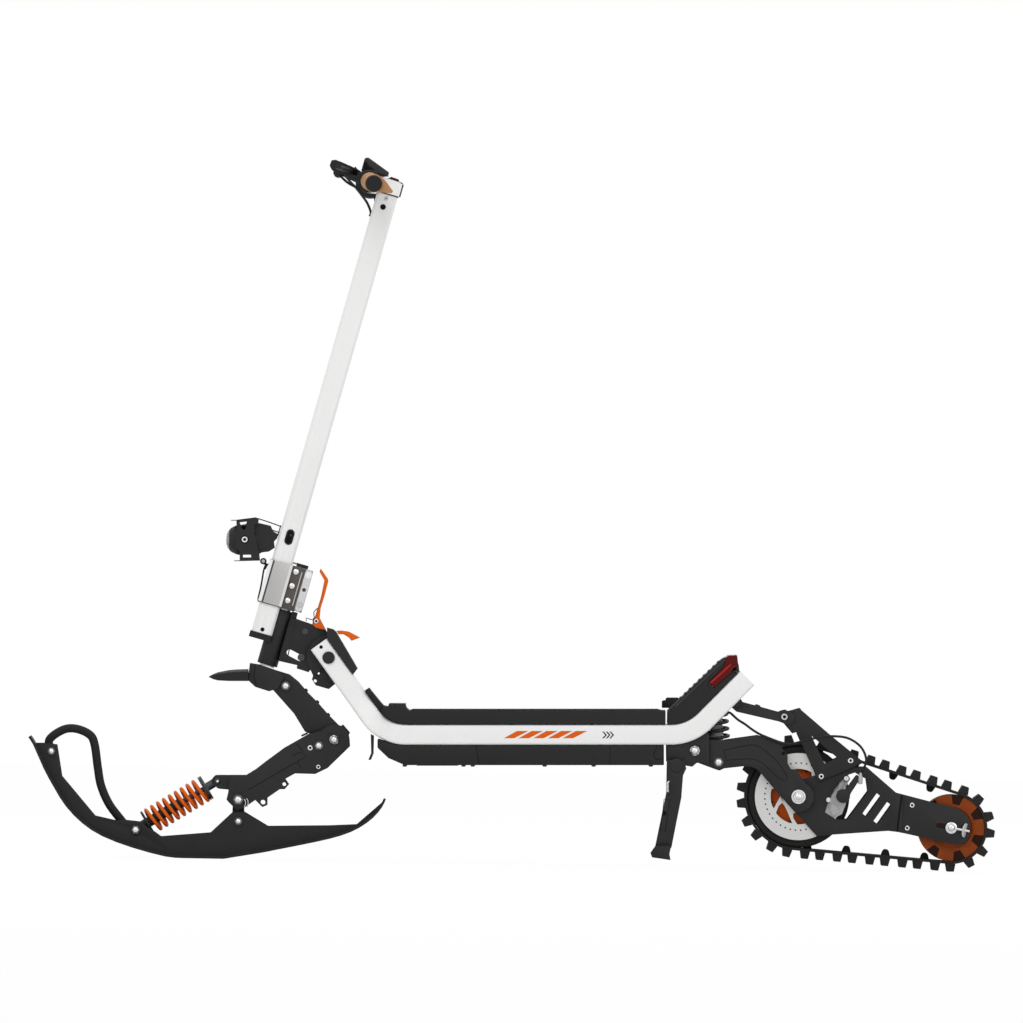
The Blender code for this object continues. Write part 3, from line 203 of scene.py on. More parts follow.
# %% Metals
finish("silver", (0.5, 0.5, 0.5), (0.28, 0.5), metallic=0.9, drift=0.06, grain=900, bump=0.2)
finish("cast_silver", (0.34, 0.34, 0.345), (0.35, 0.55), metallic=0.8, drift=0.3, grain=420, bump=0.5)
finish("brushed", (0.46, 0.455, 0.45), (0.25, 0.5), metallic=0.95, drift=0.06, grain=260, bump=0.3,
       stretch=(6, 6, 0.4))
finish("disc_steel", (0.62, 0.62, 0.61), (0.3, 0.42), metallic=0.6, drift=0.04, grain=1200, bump=0.1)
finish("bright_steel", (0.72, 0.72, 0.72), (0.12, 0.24), metallic=1.0, drift=0.05, grain=400, bump=0.05)
finish("bolt_grey", (0.25, 0.25, 0.255), (0.3, 0.45), metallic=0.8, drift=0.08, grain=500, bump=0.1)
# Dark metal for real dark parts, and also painted shade on the bolt washers and in the collar's groove,
# hole and foot line.
finish("dark_steel", (0.06, 0.06, 0.062), (0.3, 0.5), metallic=0.6, drift=0.15, grain=600, bump=0.15,
       shine=0.3)
# A dark warm metal that paints the shade in the collar's recess.
finish("painted_recess_shade", (0.1, 0.088, 0.08), (0.3, 0.5), metallic=0.5, drift=0.12, bump=0.15, shine=0.3)
finish("light_metal", (0.62, 0.62, 0.62), (0.35, 0.55), metallic=0.3, drift=0.05, grain=900, bump=0.15)
print("finishes so far:", len(LOOKS))

# %% [markdown]
# The lamp in the footrest is dark red, with a brighter strip that is a painted highlight, and
# the headlight has a clear front. Glass could be drawn with a glass shader. The clear lens is a
# Principled material that lets most of the light through, so that it keeps the same inputs as
# the other finishes.


# %% Lamps
def clear(name, colour, roughness):
    """A see-through moulded plastic."""
    made = finish(name, colour, (roughness, roughness * 1.5), drift=0.02, bump=0.005)
    made.node_tree.nodes["Principled BSDF"].inputs["Transmission Weight"].default_value = 0.85
    return made


finish("red_lens", (0.1, 0.002, 0.002), (0.2, 0.35), drift=0.4, grain=200, bump=0.05, shine=0.16)
clear("clear_lens", (0.72, 0.74, 0.77), 0.12)
# A brighter red that paints the highlight along the tail lamp's lens.
finish("red_painted_highlight", (0.5, 0.018, 0.012), (0.2, 0.3), drift=0.1, bump=0.02, shine=0.15)
print("finishes:", len(LOOKS))

# %% [markdown]
# ## Pieces on bodies
#
# Each piece rides on one of the frame's bodies, so that it moves with its joint. It could be
# parented by hand, but a helper here parents it to the body's empty. A piece may stand for one
# or more CAD nodes, which are then hidden.

# %% Tie a piece to a body
NODE_BODY = {node: name for name, group in frame["record"]["behaviour"]["bodies"].items() for node in group}


def dress(thing, look, body, stands_for=()):
    """Gives a piece its look, ties it to a body and hides the CAD nodes it stands for."""
    thing.data.materials.clear()
    thing.data.materials.append(LOOKS[look])
    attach(thing, body)
    if stands_for:
        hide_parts(*stands_for)
    return thing


print("bodies:", ", ".join(sorted(set(NODE_BODY.values()))))

# %% [markdown]
# Real edges are never perfectly sharp, and a small rounding is what catches the light. The
# edges could be rounded in the mesh itself. A bevel modifier keeps the mesh simple, and it
# rounds only the edges that are sharper than 32 degrees. Every piece prints its length, width
# and height as it is made.


# %% Make a piece
def rounded_edges(thing, width, segments=2):
    """Rounds a piece's sharp edges and shades it smooth."""
    thing.data.shade_smooth()
    if width:
        bevel = thing.modifiers.new("edges", "BEVEL")
        bevel.width = width * MM
        bevel.segments = segments
        bevel.limit_method = "ANGLE"
        bevel.angle_limit = radians(32)
        bevel.harden_normals = True
    else:
        thing.data.set_sharp_from_angle(angle=radians(38))


def piece(name, bm, look, body, edges=0.0, stands_for=(), place=DRAW):
    """A mesh piece from a bmesh in drawing millimetres."""
    bm.transform(place)
    mesh = bpy.data.meshes.new(name)
    bm.to_mesh(mesh)
    bm.free()
    thing = bpy.data.objects.new(name, mesh)
    bpy.context.collection.objects.link(thing)
    rounded_edges(thing, edges)
    spans = []
    for axis in range(3):
        places = [vertex.co[axis] for vertex in mesh.vertices]
        spans.append(round((max(places) - min(places)) / MM))
    print(name, " x ".join(str(span) for span in spans), "mm")
    return dress(thing, look, body, stands_for)


# %% [markdown]
# ## Refined CAD nodes
#
# Most plates and castings already have the right shape in the frame. They could be drawn
# again, but a copy whose triangles are joined back into flat faces takes a bevel just as
# well. The number after the look is the width of the rounding in millimetres.


# %% Refine a node
def refine(node, look, edges):
    """A copy of a CAD node with rounded edges, which stands for it."""
    bm = bmesh.new()
    bm.from_mesh(frame["nodes"][node].data)
    bmesh.ops.remove_doubles(bm, verts=bm.verts[:], dist=0.000002)
    bmesh.ops.dissolve_limit(bm, angle_limit=radians(1), verts=bm.verts[:], edges=bm.edges[:])
    bmesh.ops.recalc_face_normals(bm, faces=bm.faces[:])
    return piece("fine_" + node, bm, look, NODE_BODY[node], edges, (node,), Matrix())


# %% [markdown]
# The deck is a shallow plastic pan with the battery case below it and a raised footrest
# behind. The footrest holds the tail lamp. A steel bracket in front joins the rails to the
# steering, and an orange lever works its latch.

# %% Deck, case and fold joint
refine("deck_pan", "black_plastic", 1.5)
refine("battery_case", "black_plastic", 2.0)
refine("latch_bar", "black_paint", 1.2)
refine("latch_tab", "orange_paint", 0.8)
refine("rear_footrest", "black_plastic", 2.0)
refine("tail_light", "red_lens", 1.0)
refine("rear_bracket", "black_paint", 0.8)
refine("kickstand", "black_paint", 1.2)
refine("fold_bracket", "black_paint", 1.2)
refine("fold_lever", "orange_paint", 1.2)

# %% [markdown]
# The handlebar's clamp carries a small display. A brake lever stands in front of each grip,
# and the throttle's thumb lever sits beside the right one. Below them the head tube runs into
# the fork. Thin parts get a narrow rounding, so that it doesn't eat their shape.

# %% Steering and fork
refine("handlebar_clamp", "white_paint", 1.5)
refine("display", "black_gloss", 1.5)
refine("brake_lever_left", "black_paint", 2.0)
refine("brake_lever_right", "black_paint", 2.0)
refine("brake_perch_left", "black_paint", 0.8)
refine("brake_perch_right", "black_paint", 0.8)
refine("throttle_lever", "black_plastic", 1.0)
refine("head_tube", "black_paint", 1.0)
refine("fork", "black_paint", 1.5)
refine("knee_bolt", "bright_steel", 0.3)

# %% [markdown]
# The ski hangs on an arm with a damper. The track's plates hang on a swingarm and an upper
# link. All of them are cut plate, welded box or plain castings, so rounded edges and paint
# are all that they need. The power button and the stem's collar come last.

# %% Ski, track and last nodes
refine("swingarm_pin", "bright_steel", 0.3)
refine("ski_arm", "black_paint", 1.2)
refine("ski_blade", "black_plastic", 0.8)
refine("ski_saddle", "black_plastic", 0.8)
refine("shock_body", "black_paint", 0.6)
refine("shock_rod", "dark_steel", 0.6)
refine("swingarm", "black_paint", 1.2)
refine("upper_link", "black_paint", 1.2)
refine("track_plate_left", "black_paint", 0.6)
refine("track_plate_right", "black_paint", 0.6)
refine("brake_caliper", "cast_silver", 0.6)
refine("caliper_arm", "black_paint", 0.8)
refine("power_button", "red_lens", 0.6)
refine("stem_collar", "brushed", 0.5)

# %% [markdown]
# The battery, the motor's controller, the inner steerer tube and the headset's bearings are
# closed in. Nobody sees them, so they keep their CAD shape and only take a finish.

# %% Hidden inside
HIDDEN_INSIDE = {
    "battery_pack": "black_plastic", "motor_controller": "silver", "steerer_tube": "silver",
    "headset_bearing_lower": "dark_steel", "headset_bearing_upper": "dark_steel",
}
for node, look in HIDDEN_INSIDE.items():
    frame["nodes"][node].data.materials.clear()
    frame["nodes"][node].data.materials.append(LOOKS[look])
print("closed in:", ", ".join(HIDDEN_INSIDE))

# %% [markdown]
# ## Frame rails
#
# The two white rails come from the neck, bend under the deck and rise at the tail. Each is a
# rounded rectangular tube. Its route is a list of (x, z) points with arcs at the bends, and
# its section is a rectangle with four small arcs for corners.


# %% Arcs and a rounded section
def arc(centre, radius, start, end, steps):
    """Points on a circle; the angles are in degrees from +X towards +Z."""
    turn = [radians(start + (end - start) * i / steps) for i in range(steps + 1)]
    return [(centre[0] + radius * cos(t), centre[1] + radius * sin(t)) for t in turn]


def rounded_box(half_width, half_height, radius, steps=5):
    """Section of a rounded rectangular bar, as (sideways, y) points."""
    points = []
    for corner in range(4):
        side = 1 if corner in (0, 3) else -1
        up = 1 if corner < 2 else -1
        centre = (side * (half_width - radius), up * (half_height - radius))
        points += arc(centre, radius, 90 * corner, 90 * corner + 90, steps)
    return points


print("section of a square bar:", len(rounded_box(10, 10, 2)), "points")

# %% [markdown]
# Blender can bevel a curve with a section, but it then turns the section as the curve leaves
# its plane. A rail keeps its sides upright while it spreads sideways. So the section is
# carried by hand here: it turns only in the side view.


# %% Sweep a section
def sweep(path, section):
    """A section of (sideways, y) points carried along a run of (x, y, z) points."""
    bm = bmesh.new()
    rows = []
    for index, (x, y, z) in enumerate(path):
        before = Vector(path[max(index - 1, 0)])
        after = Vector(path[min(index + 1, len(path) - 1)])
        run = Vector((after.x - before.x, after.z - before.z)).normalized()
        rows.append([bm.verts.new((x - run.y * a, y + b, z + run.x * a)) for a, b in section])
    for low, high in zip(rows, rows[1:]):
        for i in range(len(section)):
            bm.faces.new((low[i - 1], low[i], high[i], high[i - 1]))
    bm.faces.new(rows[0])
    bm.faces.new(rows[-1])
    bmesh.ops.recalc_face_normals(bm, faces=bm.faces[:])
    return bm


# %% [markdown]
# At the neck the rails stand close together, and behind it they spread to the width of the
# deck. The spread follows a smooth step along the route, which starts and ends without a
# kink.

# %% Rails
RAIL_Y = 85
RAIL_NECK_Y = 38
RAIL_WIDTH = 20
RAIL_HEIGHT = 37
FRONT_BEND = (-195, 318)
REAR_BEND = (291.5, 326)
FRONT_RADIUS = 80
BEND_RADIUS = 88
SPREAD_START = 85
SPREAD_LENGTH = 151
NECK_END = (-355, 404)
TAIL_END = (432, 342.1)


def rail_path(side):
    """Centre line of one rail."""
    flat = [NECK_END, (-324, 360.9), (-292, 316.2)]
    flat += arc(FRONT_BEND, FRONT_RADIUS, 215.6, 270, 18)
    flat += arc(REAR_BEND, BEND_RADIUS, 270, 315, 16)
    flat.append(TAIL_END)
    path = []
    gone = 0
    for index, point in enumerate(flat):
        if index:
            gone += hypot(point[0] - flat[index - 1][0], point[1] - flat[index - 1][1])
        blend = min(max((gone - SPREAD_START) / SPREAD_LENGTH, 0), 1)
        spread = RAIL_NECK_Y + (RAIL_Y - RAIL_NECK_Y) * blend**2 * (3 - 2 * blend)
        path.append((point[0], side * spread, point[1]))
    return path


def make_rails():
    """Both rails, left and right."""
    section = rounded_box(RAIL_HEIGHT / 2, RAIL_WIDTH / 2, 5.5)
    for name, side in (("rail_left", -1), ("rail_right", 1)):
        piece(name, sweep(rail_path(side), section), "white_paint", "deck", 0.6)


make_rails()

# %% [markdown]
# Many small parts are flat shapes with some thickness. A cube could be cut to shape, but it
# is simpler to fill an outline, with holes where they are needed, and to draw it out along Y.
# The triangles of each flat face are joined at the end, so that a bevel sees only real edges.


# %% Plates
def flatten(bm):
    """Joins the triangles of each flat face, so that a bevel sees only real edges."""
    bmesh.ops.remove_doubles(bm, verts=bm.verts[:], dist=0.0001)
    bmesh.ops.dissolve_limit(bm, angle_limit=radians(0.6), verts=bm.verts[:], edges=bm.edges[:])
    bmesh.ops.recalc_face_normals(bm, faces=bm.faces[:])


def plate(outline, y_low, y_high, holes=()):
    """A flat outline with holes, drawn out from one Y to another."""
    bm = bmesh.new()
    edges = []
    for loop in (outline, *holes):
        ring = [bm.verts.new((p[0], y_low, p[1])) for p in loop]
        edges += [bm.edges.new((ring[i - 1], ring[i])) for i in range(len(ring))]
    bmesh.ops.triangle_fill(bm, use_beauty=True, use_dissolve=False, edges=edges)
    drawn = bmesh.ops.extrude_face_region(bm, geom=bm.faces[:])["geom"]
    far_side = [part for part in drawn if isinstance(part, bmesh.types.BMVert)]
    bmesh.ops.translate(bm, verts=far_side, vec=(0, y_high - y_low, 0))
    flatten(bm)
    return bm


# %% [markdown]
# Bolts, tubes and wheels are turned parts. Blender's screw modifier could turn them. A direct
# loop of points is as short, and it can also close a ring-shaped profile. A profile is a list
# of points, each with a radius and a height, and a plain bar needs only four.


# %% Turned parts
def turned(profile, sides=48, closed=False):
    """A profile of (radius, height) turned about Z; closed joins its last point to its first."""
    bm = bmesh.new()
    rows = []
    for radius, height in profile:
        if radius == 0:
            rows.append([bm.verts.new((0, 0, height))] * sides)
            continue
        turn = [2 * pi * i / sides for i in range(sides)]
        rows.append([bm.verts.new((radius * cos(t), radius * sin(t), height)) for t in turn])
    pairs = list(zip(rows, rows[1:])) + ([(rows[-1], rows[0])] if closed else [])
    for low, high in pairs:
        for i in range(sides):
            j = (i + 1) % sides
            face = list(dict.fromkeys((low[i], low[j], high[j], high[i])))
            if len(face) > 2:
                bm.faces.new(face)
    bmesh.ops.recalc_face_normals(bm, faces=bm.faces[:])
    return bm


def rod(radius, low, high):
    """Profile of a plain round bar from one height to another."""
    return [(0, low), (radius, low), (radius, high), (0, high)]


print("profile of a bar:", rod(5, 0, 20))

# %% [markdown]
# A turned part stands upright when it is made. It could be moved as an object afterwards. Its
# points are laid across the scooter or along a line in space at once instead, so that several
# parts can be joined into one mesh.


# %% Lay and join parts
def placed(bm, matrix):
    """The bmesh after a move or a turn."""
    bm.transform(matrix)
    return bm


def across(centre, profile, sides=48, closed=False):
    """A turned piece whose axis runs along Y through a side-drawing point."""
    lean = Matrix.Rotation(-pi / 2, 4, "X")
    return placed(turned(profile, sides, closed), Matrix.Translation((centre[0], 0, centre[1])) @ lean)


def along(start, end, profile, sides=32, closed=False):
    """A turned piece whose axis runs from one point in space towards another."""
    line = Vector(end) - Vector(start)
    lean = line.to_track_quat("Z", "Y").to_matrix().to_4x4()
    return placed(turned(profile, sides, closed), Matrix.Translation(start) @ lean)


def together(parts):
    """Several bmeshes as one."""
    whole = bmesh.new()
    for part in parts:
        sheet = bpy.data.meshes.new("loose")
        part.to_mesh(sheet)
        whole.from_mesh(sheet)
        bpy.data.meshes.remove(sheet)
    return whole


# %% [markdown]
# Cross tubes join the rails under the deck, at the neck and behind it. A stepped seat behind
# the deck holds the rear spring, and a small ear carries the latch. They are welded to the
# rails in the real frame, so they are joined here into one white piece that stands for the
# CAD frame.

# %% Cross tubes
NECK_TUBE = (-283, 302)
LATCH_PIVOT = (-296, 366)
LINK_FRONT = (411.2, 297.2)
SWING_SHOCK = (379.4, 187.3)
REAR_SHOCK_TOP = (372, 296)


def make_frame_tubes():
    """The tubes between the rails, the spring's seat and the latch's ear."""
    tubes = [((-180, 238), 12, 78), ((0, 238), 12, 78), ((270, 238), 12, 78), (NECK_TUBE, 12, 38)]
    tubes += [(LATCH_PIVOT, 3.2, 45), (LINK_FRONT, 9, 78), (REAR_SHOCK_TOP, 8, 78)]
    bars = [across(centre, rod(radius, -half, half)) for centre, radius, half in tubes]
    top = Vector((REAR_SHOCK_TOP[0], 0, REAR_SHOCK_TOP[1]))
    seat_line = top - Vector((SWING_SHOCK[0], 0, SWING_SHOCK[1]))
    seat = [(0, 0), (8, 0), (8, 12), (26, 12), (26, 15.5), (12, 15.5), (12, 30), (0, 30)]
    ear_edge = [(-303, 300), (-284, 298), (-284, 312), (-294, 322), (-294, 360), (-291, 364), (-291, 369),
                (-301, 371), (-303, 365)]
    ear = plate(ear_edge, -8, 8)
    bars += [along(top, top - seat_line, seat), ear]
    piece("frame_tubes", together(bars), "white_paint", "deck", 0.5, ("deck_frame",))


make_frame_tubes()

# %% [markdown]
# ## Rail graphics
#
# Five slanted orange stripes and three plain chevrons are stuck on the outer face of each
# rail. They could be painted with a texture, but thin sheets stay sharp at any distance and
# need no picture.

# %% Stripes and chevrons
RAIL_SIDE = RAIL_Y + RAIL_WIDTH / 2
STRIPE_START = -15
STRIPE_PITCH = 27
STRIPE_LOW = 231.5
STRIPE_HIGH = 244.8
DECAL = 0.25


def make_graphics():
    """The stripes and chevrons of both rails."""
    for side, name in ((-1, "left"), (1, "right")):
        near, far = sorted((side * (RAIL_SIDE - 0.1), side * (RAIL_SIDE + DECAL)))
        stripes = []
        for index in range(5):
            x = STRIPE_START + STRIPE_PITCH * index
            slant = [(x, STRIPE_LOW), (x + 19, STRIPE_LOW), (x + 45, STRIPE_HIGH), (x + 24, STRIPE_HIGH)]
            stripes.append(plate(slant, near, far))
        piece("stripes_" + name, together(stripes), "orange_paint", "deck")
        arrows = []
        for index in range(3):
            x = 165.5 + 6.6 * index
            tip = (x + 5.6, 237.5)
            edge = [(x, 243.8), (x + 3, 243.8), (tip[0] + 3, tip[1]), (x + 3, 231.2), (x, 231.2), tip]
            arrows.append(plate(edge, near, far))
        piece("chevrons_" + name, together(arrows), "decal_black", "deck")


make_graphics()

# %% [markdown]
# ## Fasteners
#
# The large joints are held by bolts with a washer, a grey hexagon and a bright dome. The
# washer's dark finish is painted shade round each bolt. One bolt could be copied many times.
# Here each body gets one piece for its washers, one for its hexagons and one for its domes,
# because a piece has only one finish.


# %% Domed bolts
def both_sides(x, z, y, profile, sides=32):
    """A turned profile of (radius, height) standing out from |Y| = y on both sides."""
    return together([across((x, z), [(r, side * (y + h)) for r, h in profile], sides) for side in (-1, 1)])


def make_bolts(owner, rows):
    """Washers, hexagons and domes of all the large bolts of one body."""
    washers, hexagons, domes = [], [], []
    for x, z, y, radius, height in rows:
        rim = radius * 0.94
        step = height * 0.22
        washer = [(0, 0), (radius, 0), (radius, height * 0.12), (rim, step), (0, step)]
        washers.append(both_sides(x, z, y, washer))
        flat = radius * 0.84
        shoulder = height * 0.6
        nut = [(0, 0.1), (flat, 0.1), (flat, height * 0.5), (flat * 0.9, shoulder), (0, shoulder)]
        hexagons.append(both_sides(x, z, y, nut, 6))
        crown = radius * 0.6
        dome = [(crown * cos(radians(t)), height * (0.6 + 0.4 * sin(radians(t)))) for t in range(0, 90, 15)]
        domes.append(both_sides(x, z, y, [(0, 0.2), (crown, 0.2), *dome, (0, height)]))
    # The washers' dark finish is painted shade round each bolt.
    kinds = [("washers", washers, "dark_steel"), ("hexagons", hexagons, "bolt_grey")]
    kinds.append(("domes", domes, "bright_steel"))
    for name, parts, look in kinds:
        piece(f"bolt_{name}_{owner}", together(parts), look, owner, 0.2)


# %% [markdown]
# Each row gives a bolt's place, how far out it stands, its radius and its height. The bolts
# are listed by body, so that each set moves with its own part.

# %% Bolts of each body
SHOCK_FOOT = (-692, 62)
BOLTS = {
    "ski": [(-847, 207, 36, 8, 7), (-503, 78, 36, 8, 7), (-503.4, 117.4, 26.2, 10.6, 8)],
    "damper": [(*SHOCK_FOOT, 36.2, 9.4, 7.5)],
    "arm": [(-355, 217, 26, 9, 7), (-541.6, 151.5, 16.2, 5.2, 4)],
    "steer": [(-327, 228, 26.2, 9.6, 7.5), (-416, 327, 24, 9, 7)],
    "deck": [(335.6, 208.5, 86.2, 10, 7.5)],
    "swing": [(*SWING_SHOCK, 80, 9.5, 6)],
}
for owner, rows in BOLTS.items():
    make_bolts(owner, rows)
print("large bolts:", sum(len(rows) for rows in BOLTS.values()) * 2)

# %% [markdown]
# The small screws are button heads with a hexagon socket: a light ring round a dark hole. The
# hole could be cut, but a dark disc inside the ring, painted shade for the socket, looks the
# same at this size. The ring and the hole are separate pieces, because each has a finish of its own.

# %% Small screws
LINK_REAR = (500.3, 270.5)
LAMP = (-491.5, 596.2)


def make_screws(name, owner, rows, look="bright_steel"):
    """Rings of small screws with painted shade in their sockets, on both sides of what they hold."""
    rings, socket_shades = [], []
    for x, z, y, radius in rows:
        ring = [(radius * 0.5, -0.4), (radius * 0.5, 1.3), (radius * 0.82, 1.6), (radius, 0.9),
                (radius, -0.4)]
        for side in (-1, 1):
            rings.append(across((x, z), [(r, side * (y + h)) for r, h in ring], 32, True))
        # Painted shade: a dark disc in each socket.
        socket_shades.append(both_sides(x, z, y, rod(radius * 0.55, -0.3, 0.5), 24))
    piece(name + "_rings", together(rings), look, owner, 0.15)
    piece(name + "_socket_shades", together(socket_shades), "deep_black", owner)


make_screws("arm_screws", "arm", [(-371, 213, 26, 4.8), (-356, 178, 26, 4.2)])
make_screws("track_screws", "track", [(568, 161, 68, 5), (622, 190, 68, 5), (735, 108, 56, 4.6),
                                      (726, 66, 56, 4.6)])
make_screws("link_pins", "track", [(*LINK_REAR, 76, 6)], "silver")
piece("lamp_screw_washer", both_sides(*LAMP, 33.9, rod(7.5, 0, 0.7)), "deep_black", "lamp")
make_screws("lamp_screws", "lamp", [(*LAMP, 34.6, 5.5)])

# %% [markdown]
# ## Rail ends, deck and case
#
# Most of what follows comes twice, once on the left and once on the right. A mirror modifier
# could double it, but not every piece has a twin. A helper makes both plates at once where
# they are wanted, and another one makes a closed ring of points for round outlines.


# %% Rings and pairs
def circle(centre, radius, sides=48):
    """A closed ring of points."""
    return arc(centre, radius, 0, 360 - 360 / sides, sides - 1)


def pair(outline, near, far, holes=()):
    """The same plate on both sides of the middle."""
    return together([plate(outline, near, far, holes), plate(outline, -far, -near, holes)])


print("ring of radius 10:", len(circle((0, 0), 10)), "points")

# %% [markdown]
# The rails end square at the neck, where the scooter folds. The fold bolt runs through both
# of them and has broad black heads, with a small hole above each, painted as shade on a thin
# dark disc. The heads are turned profiles, one on each side of a plain shank.

# %% Fold bolt
FOLD = (-337, 379)


def make_fold_bolt():
    """The fold bolt with its broad heads, and painted shade for the small holes above them."""
    head = [(0, 47.8), (10.2, 47.8), (11.4, 48.6), (11.4, 50.6), (10.6, 51.4), (8.6, 51.6), (8, 51),
            (0, 51)]
    heads = [across(FOLD, [(r, side * y) for r, y in head]) for side in (-1, 1)]
    shank = across(FOLD, rod(6, -48.2, 48.2))
    piece("fold_bolt", together([*heads, shank]), "black_paint", "deck", 0, ("fold_pivot_bolt",))
    # Painted shade: a dark disc for each small hole.
    piece("neck_hole_shades", pair(circle((-350.9, 398.6), 3.3), 47.9, 48.2), "deep_black", "deck")


make_fold_bolt()

# %% [markdown]
# A rubber mat with long ribs lies on the deck. A bump map would be enough from far away, but
# its ribs also show at the edge of the deck, so each one is a thin block on a thin sheet.

# %% Deck mat
DECK_TOP = 282


def box(low, high):
    """A block between two corners."""
    corners = [(low[0], low[2]), (high[0], low[2]), (high[0], high[2]), (low[0], high[2])]
    return plate(corners, low[1], high[1])


def make_mat():
    """A rubber mat with long ribs on the deck."""
    ribs = []
    for y in range(-80, 81, 10):
        ribs.append(box((-184, y - 2.2, DECK_TOP - 0.4), (270, y + 2.2, DECK_TOP + 2.2)))
    sheet = box((-188, -88, DECK_TOP - 0.5), (274, 88, DECK_TOP + 0.9))
    piece("deck_mat", together([sheet, *ribs]), "black_rubber", "deck", 0.4)


make_mat()

# %% [markdown]
# Short treads climb the footrest, and a dark line runs along its side. The treads stand
# square to the slope, so they are drawn from the slope's own direction. The line is a strip
# of even width along a run of points, which also serves for seams and grooves on other
# pieces.


# %% Footrest treads
def band(points, width):
    """A closed strip of even width along a run of points."""
    edges = []
    for side in (-1, 1):
        edge = []
        for index, (x, z) in enumerate(points):
            before = points[max(index - 1, 0)]
            after = points[min(index + 1, len(points) - 1)]
            share = side * width / 2 / hypot(after[0] - before[0], after[1] - before[1])
            edge.append((x + share * (before[1] - after[1]), z + share * (after[0] - before[0])))
        edges.append(edge)
    return edges[0] + edges[1][::-1]


def make_treads():
    """Treads up the footrest, and the dark line on its side."""
    slope = Vector((384 - 286, 375 - DECK_TOP)).normalized()
    across_slope = Vector((-slope.y, slope.x))
    treads = []
    for step in range(9):
        base = Vector((286, DECK_TOP)) + slope * (30 + 12 * step)
        corners = [base - across_slope, base + across_slope * 0.8, base + slope * 2 + across_slope * 1.3,
                   base + slope * 5 + across_slope * 1.3, base + slope * 7 - across_slope]
        treads.append(plate([tuple(c) for c in corners], -84, 84))
    piece("footrest_treads", together(treads), "black_rubber", "deck", 0.4)
    edge = [(300, 289.6), (372, 358), (392, 376)]
    piece("footrest_edge", pair(band(edge, 1.5), 94.9, 95.3), "dark_steel", "deck")


make_treads()

# %% [markdown]
# The deck's front lip curls up the bend of the rails. It is a moulded part of even shape
# across the deck, so one outline that follows the bend's arc is enough.


# %% Deck nose
def make_deck_nose():
    """The solid nose where the deck's lip curls up the rails' front bend."""
    under = arc(FRONT_BEND, 60.6, 268, 217, 14)
    top = [(-268.6, 319.4), (-263, 323), (-244.5, 300.6), (-236, 291), (-228, 288.4), (-210, 285),
           (-192, 282.5), (-188, 278)]
    piece("deck_nose", plate(under + top, -67, 67), "black_plastic", "deck", 1.2)
    make_screws("nose_screws", "deck", [(x, 290, 94.9, 1.9) for x in (-218, -209)], "dark_steel")


make_deck_nose()

# %% [markdown]
# The battery case has thin seams and the round cover of a charging port. Real seams are gaps.
# At a millimetre wide, a dark strip on the face reads the same and leaves the case whole.


# %% Case seams
def make_case_lines():
    """Two seams and the outline of the charging port's cover."""
    seam = band([(-66, 219), (-64, 205), (-60, 183)], 1)
    port = [(266, 219), (264, 210), *arc((269.5, 201), 9, 160, 380, 20), (274, 212), (272, 219)]
    port_line = band(port, 1)
    far_seam = band([(180, 219), (180, 183)], 0.8)
    lines = [pair(line, 91.9, 92.25) for line in (seam, port_line, far_seam)]
    piece("case_lines", together(lines), "deep_black", "deck")


make_case_lines()

# %% [markdown]
# Twelve dark screws hold the case from below, and a small plate covers an opening near its
# front. A strap hangs from the front of the deck. All of these are plain turned or flat
# pieces.


# %% Case screws, plate and strap
def make_case_screws():
    """The screws and the small plate under the case."""
    head = [(0, 182.4), (4.2, 182.4), (4.2, 180.4), (2.6, 178.9), (0, 178.9)]
    screws = []
    for x in (-197, -89, -72, 60, 150, 255):
        for y in (-70, 70):
            screws.append(placed(turned(head, 20), Matrix.Translation((x, y, 0))))
    piece("case_screws", together(screws), "dark_steel", "deck", 0.2)
    piece("case_plate", box((-175, -60, 180.6), (-99, 60, 182.2)), "black_plastic", "deck", 0.5)


def make_front_strap():
    """The strap under the deck's front end."""
    strap = [(-259.5, 239), (-253.5, 236), (-254.3, 203), (-259, 191.5), (-264, 191.5), (-258.7, 204)]
    piece("front_tab", plate(strap, -66, -52), "black_plastic", "deck", 0.6)


make_case_screws()
make_front_strap()

# %% [markdown]
# The tail lamp wraps round the footrest's upper end. From the side a bright strip shows in
# the dark red lens, with a red tip above it and a black end below. The strip is a painted
# highlight on the lens. A light source could stand inside, but the lamp isn't lit, so a
# brighter red finish is enough.


# %% Tail lamp and footrest end
def make_lamp_ends():
    """The lamp's painted highlight strip and its upper tip."""
    # Painted highlight: a brighter red strip on the lens.
    strip = band([(364.5, 333), (384, 350.5), (406, 371)], 2.2)
    piece("lamp_painted_highlight", pair(strip, 93.9, 94.4), "red_painted_highlight", "deck")
    tip = [(393, 368), (397, 383.2), (413.4, 383.8), (415.4, 366)]
    piece("lamp_top_end", pair(tip, 93.8, 95.1), "red_lens", "deck", 0.3)


def make_footrest_end():
    """The footrest's black end and its parting line."""
    end = [(400, 350.4), (417.2, 353.8), (416.4, 366), (408, 362)]
    piece("footrest_end", plate(end, -94, 94), "black_plastic", "deck", 0.4)
    parting = band([(361, 337), (360.5, 330), (362.5, 321)], 0.9)
    piece("footrest_parting", pair(parting, 94.9, 95.2), "deep_black", "deck")


make_lamp_ends()
make_footrest_end()

# %% [markdown]
# ## Fold joint
#
# A round knuckle stands on each side of the neck's bracket, round the bolt on which the stem
# folds down. Two black screws sit beside it. The knuckle's outline is one arc outward and a
# smaller one back.


